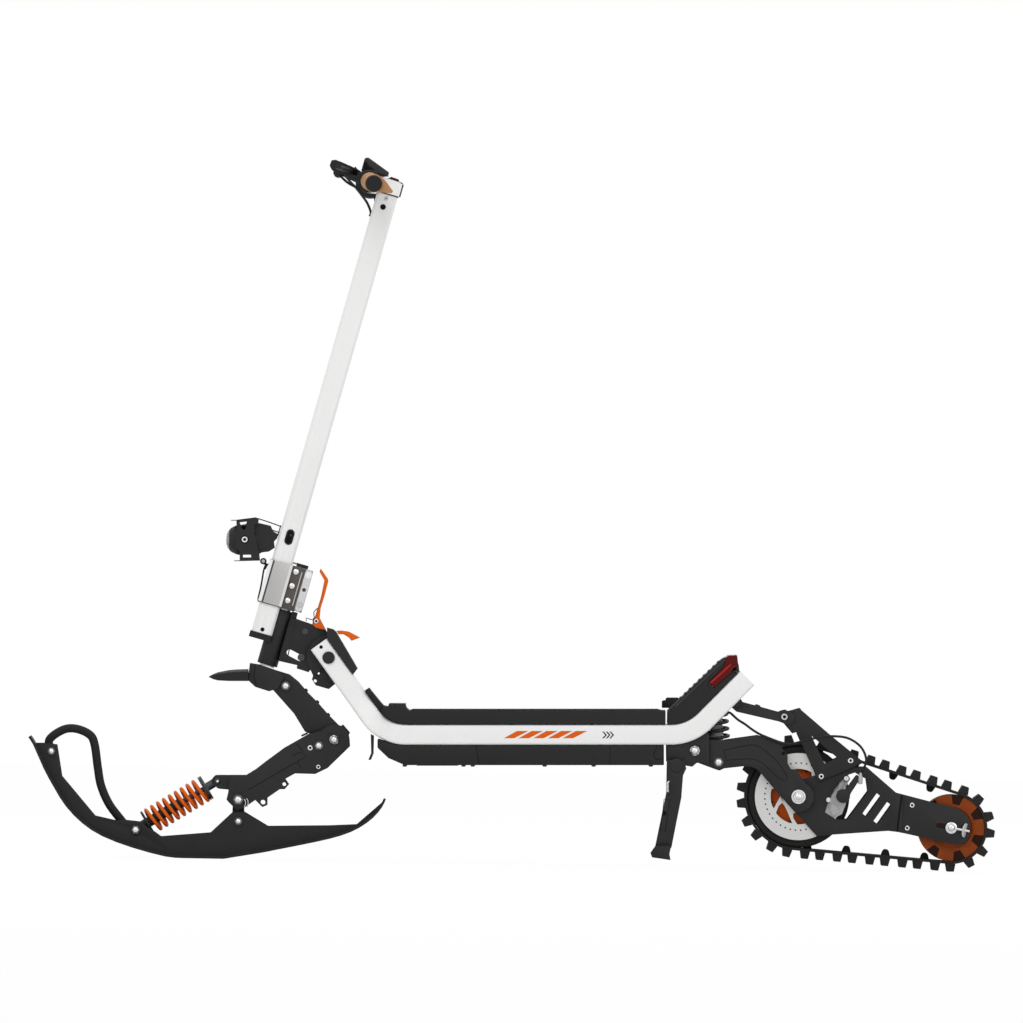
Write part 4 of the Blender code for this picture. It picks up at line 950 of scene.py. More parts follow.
# %% Knuckles and bracket screws
def make_knuckles():
    """The bracket's knuckles and its two black screws a side."""
    knuckle = arc(FOLD, 41, 75, 235, 24) + arc(FOLD, 16, 235, 75, 12)
    piece("fold_bracket_knuckle", pair(knuckle, 19.8, 24.5), "black_paint", "front", 0.8)
    small_head = [(0, -0.4), (5.8, -0.4), (5.8, 1.4), (5, 2), (0, 2)]
    piece("bracket_screw_high", both_sides(-380.2, 427.1, 20, small_head), "dark_steel", "front", 0.2)
    large_head = [(0, -0.4), (7, -0.4), (7, 1.8), (6, 2.6), (0, 2.6)]
    piece("bracket_screw_low", both_sides(-387.5, 379.5, 20, large_head), "dark_steel", "front", 0.2)


make_knuckles()

# %% [markdown]
# The latch has a thin cheek on each side, with a narrower web inside it. Two flat layers give
# the stepped edge that a pressed cheek has, and they need no bending.


# %% Latch cheeks
def make_latch_cheeks():
    """The latch's outer cheeks and their inner webs."""
    cheek = [(-340, 434), (-329, 431), (-324, 427), (-284, 359), (-292.5, 347.5), (-340, 414.8)]
    piece("latch_cheeks", pair(cheek, 48.5, 50.5), "black_paint", "latch", 0.5)
    web = [(-338, 431), (-330, 428.6), (-326, 424.6), (-287.5, 359.5), (-290, 356), (-336, 421.5)]
    piece("latch_cheek_webs", pair(web, 45.9, 48.6), "black_paint", "latch")


make_latch_cheeks()

# %% [markdown]
# A low ridge runs down the bracket's side, and a gusset braces the bracket against the head
# tube. Both follow straight weld lines, so a strip and a small plate describe them.


# %% Ridge and gusset
def make_ridge():
    """The bracket's ridge and the gusset behind the head tube."""
    ridge = band([(-400, 444), (-413, 378)], 1.6)
    piece("bracket_ridge", pair(ridge, 19.9, 20.5), "black_paint", "front", 0.3)
    gusset = plate([(17, 44.6), (29, 49), (28, 51), (17, 51)], -14, 14)
    piece("tube_bracket_gusset", gusset, "black_paint", "front", 0.4, place=STEERED)


make_ridge()

# %% [markdown]
# Cables, wires and coil springs are round all the way. A row of cylinders would gape at every
# bend. A curve with a round bevel keeps its thickness, so all of them are curves. Every wire
# prints its length.


# %% Wires
def wire(name, points, radius, look, body, stands_for=(), place=DRAW, smoothness=4):
    """A round bar or cable along points in drawing millimetres."""
    curve = bpy.data.curves.new(name, "CURVE")
    curve.dimensions = "3D"
    curve.bevel_depth = radius * MM
    curve.bevel_resolution = smoothness
    curve.use_fill_caps = True
    spline = curve.splines.new("POLY")
    spline.points.add(len(points) - 1)
    for knot, point in zip(spline.points, points):
        knot.co = (*(place @ Vector(point)), 1)
    spline.use_smooth = True
    thing = bpy.data.objects.new(name, curve)
    bpy.context.collection.objects.link(thing)
    length = sum((Vector(b) - Vector(a)).length for a, b in zip(points, points[1:]))
    print(name, round(length), "mm long")
    return dress(thing, look, body, stands_for)


# %% [markdown]
# The orange lever turns on a ringed pin, and a thin wire spring holds it closed. One end of
# the spring stays with the bracket and the other rides on the lever, so each end is a wire of
# its own on its own body.


# %% Lever pin and spring
def make_lever_spring():
    """The lever's pin and the two ends of its wire spring."""
    make_screws("lever_pin", "front", [(-360, 446, 26, 4.4)])
    leg = [(-378.4, 0, 446), (-378.4, 0, 452), (-371, 0, 449.5), (-362, 0, 447)]
    wire("spring_leg", [(x, -22, z) for x, _, z in leg], 0.9, "dark_steel", "front")
    hook = [(-351, -22, 474), (-360, -22, 468), (-364.5, -22, 462.5), (-364, -22, 455), (-362, -22, 448)]
    wire("spring_hook", hook, 0.9, "dark_steel", "fold_handle")


make_lever_spring()

# %% [markdown]
# ## Stem
#
# The stem is a white box section that leans with the steering axis. Its details could be
# placed by turning each one. They are drawn upright on the stem's own axis instead, and the
# matrix STEERED leans them all. Ovals and small rounds come several times, so each has a
# helper.


# %% Ovals and side rounds
def capsule(start, end, radius, steps=12):
    """A slot with round ends between two centres."""
    lean = degrees(atan2(end[1] - start[1], end[0] - start[0]))
    return arc(end, radius, lean - 90, lean + 90, steps) + arc(start, radius, lean + 90, lean + 270, steps)


def side_rounds(a, s, y, radius, height):
    """A small round on both sides of the stem or collar."""
    top = y + height
    profile = [(0, y - 0.3), (radius, y - 0.3), (radius, y + height * 0.6), (radius * 0.85, top), (0, top)]
    return together([across((a, s), [(r, side * h) for r, h in profile], 32) for side in (-1, 1)])


print("outline of an oval:", len(capsule((0, 0), (20, 0), 5)), "points")

# %% [markdown]
# A rubber grommet sits low in the stem's side: an oval ring round a dark opening, which is
# painted shade, and one small screw. An oval is two half circles, and a smaller oval makes
# the ring's opening.

# %% Stem and grommet
refine("stem", "white_paint", 1.2)


def make_grommet():
    """The oval grommet, painted shade in its opening, and its screw."""
    rim = pair(capsule((-25, 183), (-25, 197), 7.6), 24.8, 26.2, [capsule((-25, 183), (-25, 197), 4.6)])
    piece("stem_grommet", rim, "black_rubber", "steer", 0.5, place=STEERED)
    # Painted shade: a dark oval in the grommet's opening.
    core = pair(capsule((-25, 183), (-25, 197), 4.8), 24.9, 25.5)
    piece("grommet_opening_shade", core, "deep_black", "steer", place=STEERED)
    piece("grommet_screw", side_rounds(-23.5, 194, 25.4, 1.8, 0.6), "dark_steel", "steer", place=STEERED)


make_grommet()

# %% [markdown]
# Near the top a small ringed screw and a dark plug sit in the stem's side, and a hole shows
# near its foot. They are too small to need real holes: the screw's dark centre and the foot
# hole are painted shade on small discs.


# %% Stem screw, plug and foot hole
def make_stem_rounds():
    """The ringed screw with painted shade in its centre, the plug, and painted shade for the foot hole."""
    ring = pair(circle((-26, 838), 4.2), 24.8, 25.8, [circle((-26, 838), 2.6)])
    piece("stem_ring", ring, "silver", "steer", 0.2, place=STEERED)
    # Painted shade: a dark disc in the ring's centre.
    piece("stem_ring_hole_shade", side_rounds(-26, 838, 25, 1.3, 0.6), "deep_black", "steer", place=STEERED)
    piece("stem_plug", side_rounds(-27, 821, 25, 5.2, 0.8), "deep_black", "steer", place=STEERED)
    # Painted shade: a dark disc for the foot hole.
    piece("stem_foot_hole_shade", side_rounds(-26, 13, 23.2, 4.6, 0.6), "deep_black", "steer", place=STEERED)


make_stem_rounds()

# %% [markdown]
# A black cap closes the stem's foot round the head tube. Seen along the axis it is a
# rectangle with a round bite, so it is drawn in that view and raised along the axis.


# %% Stem foot
def upright(outline, low, high, holes=()):
    """An (a, y) outline raised along the steering axis."""
    flat = plate([(a, -y) for a, y in outline], low, high, [[(a, -y) for a, y in hole] for hole in holes])
    return placed(flat, Matrix.Rotation(pi / 2, 4, "X"))


def make_stem_foot():
    """The cap round the head tube."""
    notch = arc((0, 0), 20.4, 106, 254, 18)
    foot = [(-47, -26.5), (-47, 26.5), (-6, 26.5), *notch, (-6, -26.5)]
    piece("stem_foot", upright(foot, -5.5, 5.8), "black_plastic", "steer", 0.8, place=STEERED)


make_stem_foot()

# %% [markdown]
# ## Collar
#
# A brushed metal collar clamps the stem's foot. A groove runs up each side beside two pale
# edges, and a dark line lies at its foot. They could be cut into the collar. Thin flat strips
# on its face leave the collar whole: the dark ones are painted shade in the groove and under
# the collar's edge, the white one is a painted reflection of the rounded front edge, and the
# bright one is a painted highlight.


# %% Collar sides
def make_collar_sides():
    """Painted shade in the groove and at the foot, and a painted reflection and highlight on the edges."""
    # Painted shade: a dark strip for the groove.
    groove = [(-42, 62.4), (-39, 62.4), (-39, 141.6), (-42, 141.6)]
    piece("collar_groove_shade", pair(groove, 28.9, 29.15), "dark_steel", "steer", place=STEERED)
    # Painted reflection: a white strip for the rounded front edge.
    strip = [(-48.4, 62.6), (-42.4, 62.6), (-42.4, 141.4), (-48.4, 141.4)]
    piece("collar_painted_reflection", pair(strip, 28.9, 29.3), "white_paint", "steer", 0.1, place=STEERED)
    # Painted shade: a dark strip under the collar's foot.
    foot_shade = [(-48, 60.6), (20, 60.6), (20, 61.9), (-48, 61.9)]
    piece("collar_foot_shade", pair(foot_shade, 23.6, 28.8), "dark_steel", "steer", place=STEERED)
    # Painted highlight: a bright strip along the edge.
    shine = [(-9, 62.6), (-4.2, 62.6), (-4.2, 141.4), (-9, 141.4)]
    piece("collar_painted_highlight", pair(shine, 28.9, 29.3), "bright_steel", "steer", 0.1, place=STEERED)


make_collar_sides()

# %% [markdown]
# Behind the edge's painted highlight lies a recess with a bar and three round bolts on each
# side. The recess is darkened with painted shade, a thin sheet of dark metal, because the CAD
# collar already has the step.


# %% Collar recess and bolts
def make_collar_recess():
    """Painted shade in the recess, its bar and the three bolts a side."""
    # Painted shade: a dark sheet on the recess's floor.
    recess = [(-3.8, 62.2), (19.8, 62.2), (19.8, 141.8), (-3.8, 141.8)]
    piece("collar_recess_shade", pair(recess, 20.9, 21.3), "painted_recess_shade", "steer", place=STEERED)
    bar = [(14, 70), (16, 70), (16, 134), (14, 134)]
    piece("collar_bar", pair(bar, 21.2, 22.4), "silver", "steer", 0.3, place=STEERED)
    bolts = []
    for s in (132, 105, 77):
        profile = [(0, 21), (6, 21), (6, 23), (5.2, 25.4), (3.2, 26.8), (0, 27.3)]
        bolts += [across((4, s), [(r, side * y) for r, y in profile], 32) for side in (-1, 1)]
    piece("collar_bolts", together(bolts), "bright_steel", "steer", 0.2, place=STEERED)


make_collar_recess()

# %% [markdown]
# A pale plate with round corners covers the collar's rear. It has a white button, a small
# hole and a screw, one above the other; the hole is painted shade on a small dark disc. A black
# cap with a round back closes the collar's top.


# %% Collar plate and cap
def rounded_plate(a_low, a_high, s_low, s_high, radius):
    """A rectangle with round corners, as (a, s) points."""
    middle = ((a_low + a_high) / 2, (s_low + s_high) / 2)
    ring = rounded_box((a_high - a_low) / 2, (s_high - s_low) / 2, radius, 8)
    return [(middle[0] + a, middle[1] + s) for a, s in ring]


def make_collar_plate():
    """The rear plate with its button, painted shade for its hole, its screw, and the cap above."""
    plate_line = rounded_plate(21, 34.3, 63, 141.5, 6.6)
    piece("collar_rear_plate", pair(plate_line, 26.9, 28.4), "light_metal", "steer", 0.5, place=STEERED)
    piece("collar_button", side_rounds(28, 132, 28.3, 6.3, 1.4), "white_paint", "steer", 0.2, place=STEERED)
    # Painted shade: a dark disc for the small hole.
    piece("collar_hole_shade", side_rounds(27.5, 104, 28.3, 3.6, 0.2), "dark_steel", "steer", place=STEERED)
    ring = pair(circle((27.5, 76), 5.4), 28.3, 29.4, [circle((27.5, 76), 2.6)])
    piece("collar_screw", ring, "silver", "steer", 0.2, place=STEERED)
    cap = upright(arc((8, 0), 15.4, -115, 115, 30), 142.2, 148.4)
    piece("collar_cap", cap, "black_paint", "steer", 0.3, place=STEERED)


make_collar_plate()

# %% [markdown]
# ## Handlebar
#
# The bar gets thicker in its clamp, and the grips have grooves all round. A curve can also
# change its radius from point to point, but grooves need sharp steps. So these tubes are
# built ring by ring, and each ring takes a radius of its own.


# %% Tubes of changing radius
def tube(path, radii, sides=36):
    """A round bar of changing radius along points in space."""
    bm = bmesh.new()
    points = [Vector(p) for p in path]
    rows = []
    for index, point in enumerate(points):
        run = (points[min(index + 1, len(points) - 1)] - points[max(index - 1, 0)]).normalized()
        side = (Vector((1, 0, 0)) - run * run.x).normalized()
        other = run.cross(side)
        turn = [2 * pi * i / sides for i in range(sides)]
        rows.append([bm.verts.new(point + (side * cos(t) + other * sin(t)) * radii[index]) for t in turn])
    for low, high in zip(rows, rows[1:]):
        for i in range(sides):
            bm.faces.new((low[i - 1], low[i], high[i], high[i - 1]))
    bm.faces.new(rows[0])
    bm.faces.new(rows[-1])
    bmesh.ops.recalc_face_normals(bm, faces=bm.faces[:])
    return bm


# %% [markdown]
# The bar runs straight through the clamp and sweeps back a little along the grips. The sweep
# is a formula of the place along the bar, because the grips and their caps have to follow it
# too.

# %% Bar
BAR = (-63, 858)
BAR_RADIUS = 11.1


def bar_place(y):
    """The handlebar's middle line: straight, then swept back along the grips."""
    sweep_back = 10.5 * (max(abs(y) - 150, 0) / 158) ** 1.3
    return (BAR[0] + sweep_back, y, BAR[1] - 0.38 * sweep_back)


def make_bar():
    """The handlebar, thick in its clamp."""
    stations = [-308, -270, -230, -190, -150, -100, -60, -36]
    stations += [-y for y in stations[::-1]]
    radii = [15.9 if abs(y) <= 36 else BAR_RADIUS for y in stations]
    bar = tube([bar_place(y) for y in stations], radii)
    piece("fine_handlebar", bar, "black_paint", "steer", 0, ("handlebar",), STEERED)


make_bar()

# %% [markdown]
# Each grip is a tan rubber sleeve with shallow grooves and a flat palm pad behind it. The pad
# is a plate whose points are pushed back along the bar's sweep. A black cap closes the end.


# %% Grips
def make_grips():
    """Both grips with their palm pads and end caps."""
    for name, side in (("grip_left", -1), ("grip_right", 1)):
        places = [side * (178 + 2.5 * i) for i in range(51)]
        grooved = [15.4 if 3 < i < 48 and i % 3 == 0 else 16.5 for i in range(51)]
        sleeve = tube([bar_place(y) for y in places], grooved, 48)
        pad = [(-62, 872.5), (-46, 869), (-36, 863), (-20, 850), (-22, 846), (-41, 842), (-60, 843)]
        low, high = sorted((side * 186, side * 300))
        pad_shape = plate(pad, low, high)
        for vert in pad_shape.verts:
            vert.co.x += bar_place(vert.co.y)[0] - BAR[0] - 4
        piece("fine_" + name, together([sleeve, pad_shape]), "tan_rubber", "steer", 1.2, (name,), STEERED)
        end = bar_place(side * 304)
        cap = [(0, -2), (15.4, -2), (15.4, 2.5), (14, 5.6), (0, 5.6)]
        disc = across((end[0] + 0.6, end[2]), [(r, side * (304 + y)) for r, y in cap])
        piece("end_cap_" + name, disc, "black_rubber", "steer", 0.4, place=STEERED)


make_grips()

# %% [markdown]
# Black rings clamp the levers and the throttle to the bar, and a dark lip edges the throttle.
# They are turned round the bar's axis with a hole for the bar, so their profile is closed.


# %% Bar rings
def make_bar_rings():
    """The clamp rings of both sides."""
    hole = BAR_RADIUS + 0.2
    for y_low, y_high, radius in ((143, 149, 21), (78, 98, 20), (112, 116, 19)):
        rings = []
        for side in (-1, 1):
            profile = [(hole, y_low), (radius - 1.5, y_low), (radius, y_low + 1.5), (radius, y_high - 1.5),
                       (radius - 1.5, y_high), (hole, y_high)]
            rings.append(across(BAR, [(r, side * y) for r, y in profile], 48, True))
        piece(f"bar_ring_{y_low}", together(rings), "black_plastic", "steer", 0.3, place=STEERED)


def make_throttle_lip():
    """The dark lip of the throttle."""
    lip = [(24.6, 171.5), (27.6, 171.5), (27.6, 173.2), (24.6, 173.2)]
    piece("throttle_lip", across(BAR, lip, 48, True), "dark_steel", "throttle", 0.2, place=STEERED)


make_bar_rings()
make_throttle_lip()

# %% [markdown]
# A switch housing stands at each lever, and the display rests on a sloping foot. The housings
# have a busy outline but an even width, so they are plates.


# %% Switch housings and display foot
def make_switches():
    """The switch housings and the display's foot."""
    housing = [(-331.1, 1292.2), (-323.5, 1293.2), (-306, 1286.2), (-290, 1278.2), (-287, 1280.7),
               (-282.9, 1275.2), (-277.9, 1272.7), (-281.9, 1264.7), (-288, 1259.7), (-292.5, 1260.2),
               (-301, 1265.7), (-311, 1269.7), (-317, 1263.7), (-322.5, 1263.2), (-328.1, 1266.7),
               (-327.6, 1273.7), (-333.1, 1278.7), (-334.6, 1282.7)]
    piece("switch_housings", pair(housing, 106, 115), "black_plastic", "steer", 0.8)
    foot = [(-277.4, 1274.2), (-276, 1279), (-228, 1265.5), (-226.6, 1264.5), (-262, 1262)]
    piece("display_foot", plate(foot, -30, 30), "black_plastic", "steer", 0.6)


make_switches()

# %% [markdown]
# The route of a cable is known at a few points only. A Bezier curve would need its handles
# set by hand. A Catmull-Rom curve needs none and passes through every point, so a few
# measured places are enough.


# %% Smooth curves
def smooth(points, steps=6):
    """A Catmull-Rom curve through points on a plane or in space."""
    knots = [Vector(p) for p in points]
    knots = [2 * knots[0] - knots[1], *knots, 2 * knots[-1] - knots[-2]]
    curve = []
    for p, q, r, s in zip(knots, knots[1:], knots[2:], knots[3:]):
        for step in range(steps):
            t = step / steps
            bend = (2 * p - 5 * q + 4 * r - s) * t**2 + (3 * q - p - 3 * r + s) * t**3
            curve.append(tuple((2 * q + (r - p) * t + bend) / 2))
    curve.append(tuple(knots[-2]))
    return curve


print("curve through three places:", len(smooth([(0, 0), (10, 5), (20, 0)])), "points")

# %% [markdown]
# A cable runs in one loop from each lever into the stem, with a small nut at the lever. Both
# are wires in black rubber. The nut is a turned part that lies along the cable's first
# stretch.


# %% Lever cables
def make_bar_cables():
    """The two lever cables and their nuts."""
    left = [(-317, -112, 1265.5), (-302, -92, 1251.6), (-284.9, -62, 1241.6), (-274.9, -36, 1227.6),
            (-265.9, -18, 1214.5), (-259.9, -9, 1198.5), (-261.4, -7, 1191)]
    right = [(-310, 112, 1270), (-299, 92, 1256.7), (-288, 62, 1244.6), (-275.5, 36, 1228.5),
             (-266.2, 18, 1214.8), (-259.9, 9, 1198.5), (-261.4, 7, 1191)]
    for name, run in (("left", left), ("right", right)):
        wire("bar_cable_" + name, smooth(run, 8), 2.3, "black_rubber", "steer")
        start = Vector(run[0])
        after = Vector(run[1])
        profile = [(0, 0), (4, 0), (4, 6), (2.8, 7), (2.8, 11), (0, 11)]
        nut = along(start - (after - start).normalized() * 3, after, profile, 24)
        piece("cable_nut_" + name, nut, "black_plastic", "steer", 0.3)


make_bar_cables()

# %% [markdown]
# Thin plates close the handlebar's clamp behind, below and above. Each is a narrow outline of
# four corners, which is all that such a cover needs.


# %% Clamp plates
def make_clamp_plates():
    """The thin plates round the handlebar's clamp."""
    back = plate([(-4.2, 847), (-1.6, 847), (-1.6, 871), (-4.2, 871)], -25, 25)
    piece("clamp_back", back, "dark_steel", "steer", 0.3, place=STEERED)
    base = plate([(-45, 845), (-5, 845), (-5, 847.2), (-45, 847.2)], -26.4, 26.4)
    piece("clamp_base", base, "black_plastic", "steer", 0.2, place=STEERED)
    top = plate([(-33, 872.4), (-4, 870.2), (-4, 873.4), (-33, 875.6)], -25, 25)
    piece("clamp_top", top, "black_plastic", "steer", 0.2, place=STEERED)


make_clamp_plates()

# %% [markdown]
# ## Headlight
#
# The round lamp sits in a slotted steel cage, which two thin stays hold to the stem. The cage
# is folded from sheet, so its cheeks, top, bottom and stays are thin plates. It stands for
# the CAD bracket.


# %% Lamp cage
def make_cage():
    """The cage, its stays and the hinge below it."""
    edge = [(-506.8, 632.5), (-471.7, 637), (-466.4, 635), (-467, 625), (-473, 624), (-473.5, 604.5),
            (-470.2, 592.4), (-465.6, 573), (-464.1, 559), (-500.7, 558.1), (-500.7, 574),
            (-507.5, 582), (-506, 604.6)]
    top_slot = [(-501.5, 627.6), (-487.3, 629.4), (-489, 624.8), (-499.5, 623)]
    notch = [(-499, 620.5), (-488, 621.5), (-491, 614.5), (-495, 614.5)]
    low_slot = [(-495.3, 568.2), (-480.1, 568.2), (-479.4, 563.4), (-495.3, 563.1)]
    cheeks = pair(edge, 31.3, 34, [top_slot, notch, low_slot])
    top = plate([(-517, 632.2), (-506.8, 632.5), (-471.7, 637), (-466.4, 635), (-466.4, 633.4),
                 (-471.7, 635.3), (-506.8, 630.9), (-517, 630.9)], -31.5, 31.5)
    bottom = plate([(-511, 557.6), (-464.1, 559), (-464.1, 557.4), (-511, 556.2)], -31.5, 31.5)
    upper_stay = band([(-467, 634.6), (-446, 627.8), (-424.5, 620)], 2)
    lower_stay = band([(-467, 620), (-443, 614), (-426.5, 608.6)], 2)
    bars = [plate(stay, y - 5, y + 5) for stay in (upper_stay, lower_stay) for y in (-15, 15)]
    foot = plate([(-426.5, 622), (-424.6, 622.6), (-430.4, 602.4), (-432.3, 601.8)], -20, 20)
    arm = [(-462, 560), (-458, 562), (-449, 549), (-453.2, 541), (-457.2, 541), (-455, 549)]
    parts = [cheeks, top, bottom, *bars, foot, plate(arm, -6, 6)]
    parts.append(across((-457.5, 556.3), rod(6, -9, 9), 32))
    piece("lamp_cage", together(parts), "black_paint", "steer", 0.4, ("headlight_bracket",))
    piece("cage_hinge", both_sides(-457.5, 556.3, 9, rod(3.2, -0.2, 0.7)), "silver", "steer", 0.2)


make_cage()

# %% [markdown]
# The lamp's body is a turned barrel. Cooling fins stand behind it, round a slightly smaller
# core. The gaps between the fins could be cut from a block, but nine plates and a core are
# simpler and give the same comb.

# %% Lamp body
LAMP_MIDDLE = 595.5
LAMP_FRONT = (-521, 0, LAMP_MIDDLE)
LAMP_REAR = (-440, 0, LAMP_MIDDLE)


def make_lamp_body():
    """The turned barrel and its fins."""
    barrel = [(0, 60), (24, 60), (27.5, 52), (27.5, 17), (26.4, 13), (22.6, 5), (18.4, 0.4), (17.4, 1.4),
              (17, 6), (0, 11)]
    parts = [along(LAMP_FRONT, LAMP_REAR, barrel, 64)]
    fin = [(-478, 623), (-465, 626.5), (-444, 621.5), (-439.7, 611.5), (-430.5, 606), (-432, 598.5),
           (-438.1, 592.4), (-436.6, 581), (-447.3, 574), (-466, 571.5), (-478, 572)]
    parts += [plate(fin, y - 1.3, y + 1.3) for y in range(-24, 25, 6)]
    inner = [(-478, 618), (-466, 620), (-450, 615), (-446, 606), (-441, 598), (-444, 586), (-452, 578),
             (-478, 577)]
    parts.append(plate(inner, -26, 26))
    piece("fine_headlight_housing", together(parts), "black_paint", "lamp", 0.5, ("headlight_housing",))


make_lamp_body()

# %% [markdown]
# The lens is a shell: an outer dome and a slightly smaller one inside it, turned as one
# profile. A single dome would be shorter, but glass bends light at both of its faces, and the
# inner one would be missing. A bright bowl and three small chips lie behind it.


# %% Lens, bowl and chips
def make_lens():
    """The clear lens and the bowl behind it."""
    dome = [(17.2 * cos(radians(t)), 1.4 - 6.7 * sin(radians(t))) for t in range(0, 90, 9)] + [(0, -5.3)]
    inside = [(0, -2.3), *[(r - 1.6, d + 2.4) for r, d in dome[-2:0:-1]], (16.4, 4.4)]
    lens = along(LAMP_FRONT, LAMP_REAR, dome + inside, 48)
    piece("fine_headlight_lens", lens, "clear_lens", "lamp", 0, ("headlight_lens",))
    bowl = [(0, 7.6), (6, 7.2), (12, 6.2), (16.4, 4.9), (16.8, 6.2), (12, 7.8), (0, 9.4)]
    piece("lamp_bowl", along(LAMP_FRONT, LAMP_REAR, bowl, 48), "bright_steel", "lamp", 0)


def make_chips():
    """The three small light chips."""
    chips = []
    for turn in range(3):
        angle = radians(90 + 120 * turn)
        y, z = 8 * cos(angle), LAMP_MIDDLE + 8 * sin(angle)
        chips.append(along((-514, y, z), (-521, y, z), [(0, 0), (3.4, 0), (3.4, 2), (2.4, 3), (0, 3)], 24))
    piece("lamp_chips", together(chips), "white_paint", "lamp", 0.2)


make_lens()
make_chips()

# %% [markdown]
# The lamp's cable hangs in a short bow from the bracket to the collar. It is a wire along
# seven measured points.


# %% Lamp cable
def make_lamp_cable():
    """The lamp's cable."""
    run = [(-47, 6, 132), (-53, 6, 128), (-54, 6, 118), (-52, 6, 100), (-50.5, 6, 84), (-49.5, 6, 66),
           (-47, 6, 60)]
    wire("lamp_cable", smooth(run, 6), 1.6, "black_rubber", "steer", place=STEERED)


make_lamp_cable()

# %% [markdown]
# ## Fork, arm and ski
#
# The fork is a welded box under the head tube, with a broad six-sided nut at its crown. Three
# raised notches mark its rear edge, and a weld seam runs down the side of the crown. The seam
# is a dark strip and the notches are small plates, because both are shallow.


# %% Fork
def make_fork_details():
    """The crown's nut, the notches and the weld seam."""
    profile = [(0, -70), (13, -70), (15, -67), (15, -60), (0, -60)]
    nut = placed(turned(profile, 6), Matrix.Rotation(0.3, 4, "Z"))
    piece("crown_nut", nut, "dark_steel", "steer", 0.4, place=STEERED)
    bumps = []
    for x, z in ((-379, 320), (-358, 298.5), (-338, 275)):
        notch = [(x - 3, z + 1), (x, z + 2.6), (x + 4, z - 1.4), (x + 2, z - 5), (x - 4, z - 2)]
        bumps.append(plate(notch, -15, 15))
    piece("fork_notches", together(bumps), "black_paint", "steer", 0.5)
    seam = band([(-472, 366), (-475, 345), (-470, 328)], 1.2)
    piece("crown_seam", pair(seam, 23.9, 24.3), "deep_black", "steer")


make_fork_details()

# %% [markdown]
# The arm that carries the ski has a pressed channel in its side, drawn as thin dark lines of
# painted shade along its creases. A stop screw points out of its upper end, and bright wire
# clips hold its pivot.


# %% Arm
def make_arm_details():
    """Painted shade along the pressed channel, the stop screw and the pivot's clips."""
    channel = [(-404.7, 198), (-390, 205.2), (-375.6, 198.8), (-393, 189), (-484.8, 136)]
    fold = [(-396, 221), (-384.5, 206.5)]
    toe = [(-395, 188), (-388, 176)]
    # Painted shade: thin dark strips along the channel's creases.
    lines = [pair(band(run, 1.1), 25.9, 26.25) for run in (channel, fold, toe)]
    piece("arm_crease_shade", together(lines), "deep_black", "arm")
    tip = along((-376, -8, 240), (-391, -8, 233.5), [(0, 0), (1.8, 0), (1.8, 12), (0, 13)], 16)
    piece("stop_screw", tip, "dark_steel", "arm")
    for index, (x, z, radius) in enumerate(((-494, 112, 12), (-490, 112, 14))):
        ring = []
        for t in range(-70, 71, 14):
            ring.append((x + 0.35 * radius * cos(radians(t)), -28.5, z + radius * 0.6 * sin(radians(t))))
        wire(f"pivot_clip_{index}", ring, 0.8, "bright_steel", "arm")


make_arm_details()

# %% [markdown]
# A pointed plate reaches forward from the crown and is arched across. Its width, its arch and
# its edge all change along its length. So it is lofted: each station gives one cross-section,
# and neighbouring sections are joined.


# %% Front fender
def make_fender():
    """The pointed, arched plate before the crown."""
    stations = [(-557.6, 344.4, 343, 7), (-549, 349, 339, 15), (-541, 352, 337, 21), (-521, 356, 336, 28),
                (-507, 357.2, 336, 30), (-485, 357.8, 336, 30)]
    bm = bmesh.new()
    rows = []
    for x, top, low, half in stations:
        edge = [(half * step / 6, top - 4.5 * abs(step / 6) ** 1.6 * half / 30) for step in range(-6, 7)]
        rows.append([bm.verts.new((x, y, z)) for y, z in [(-half, low), *edge, (half, low)]])
    for near, far in zip(rows, rows[1:]):
        for i in range(len(near)):
            bm.faces.new((near[i - 1], near[i], far[i], far[i - 1]))
    bm.faces.new(rows[0])
    bm.faces.new(rows[-1])
    bmesh.ops.recalc_face_normals(bm, faces=bm.faces[:])
    piece("fine_front_fender", bm, "black_plastic", "steer", 0.8, ("front_fender",))


make_fender()

# %% [markdown]
# A padded loop at the ski's tip is there to lift it. It has the same thickness all the way,
# so a round section is swept along a smooth run of points, and two cross bars carry its ends.


# %% Lifting loop
def tube_flat(points, radius, sides=28):
    """A round bar along points in the side plane."""
    section = [(radius * cos(2 * pi * i / sides), radius * sin(2 * pi * i / sides)) for i in range(sides)]
    return sweep(points, section)


def make_lifting_loop():
    """The lifting loop and the two bars that carry it."""
    route = [(-848, 207), (-851, 228), (-826, 246), (-802, 248), (-777, 237), (-768, 219), (-762, 176),
             (-756, 143), (-741, 109), (-716, 76)]
    points = [(x, 0, z) for x, z in smooth(route, 8)]
    loop = tube_flat(points, 7.8)
    bars = [across((-848, 207), rod(7, -29.7, 29.7)), across((-718, 74), rod(6, -29.7, 29.7))]
    piece("fine_ski_handle", together([loop, *bars]), "black_rubber", "ski", 0, ("ski_handle",))


make_lifting_loop()

# %% [markdown]
# An orange coil spring works between the ski and the arm, round the damper. A coil could come
# from the screw modifier. Points on a helix along the damper's own line give the exact ends,
# and a wire makes them round. A dark disc closes its upper end.

# %% Front spring
SHOCK_TOP = (-542, 152)
SPRING_RADIUS = 22
SPRING_WIRE = 6.3


def coil(start, end, first, last, turns):
    """Points of a coil spring between two distances along a line."""
    run = (Vector(end) - Vector(start)).normalized()
    side = Vector((0, 1, 0))
    other = run.cross(side)
    steps = round(turns * 28)
    points = []
    for step in range(steps + 1):
        turn = 2 * pi * step / 28
        rise = first + (last - first) * step / steps
        points.append(Vector(start) + run * rise + (side * cos(turn) + other * sin(turn)) * SPRING_RADIUS)
    return points


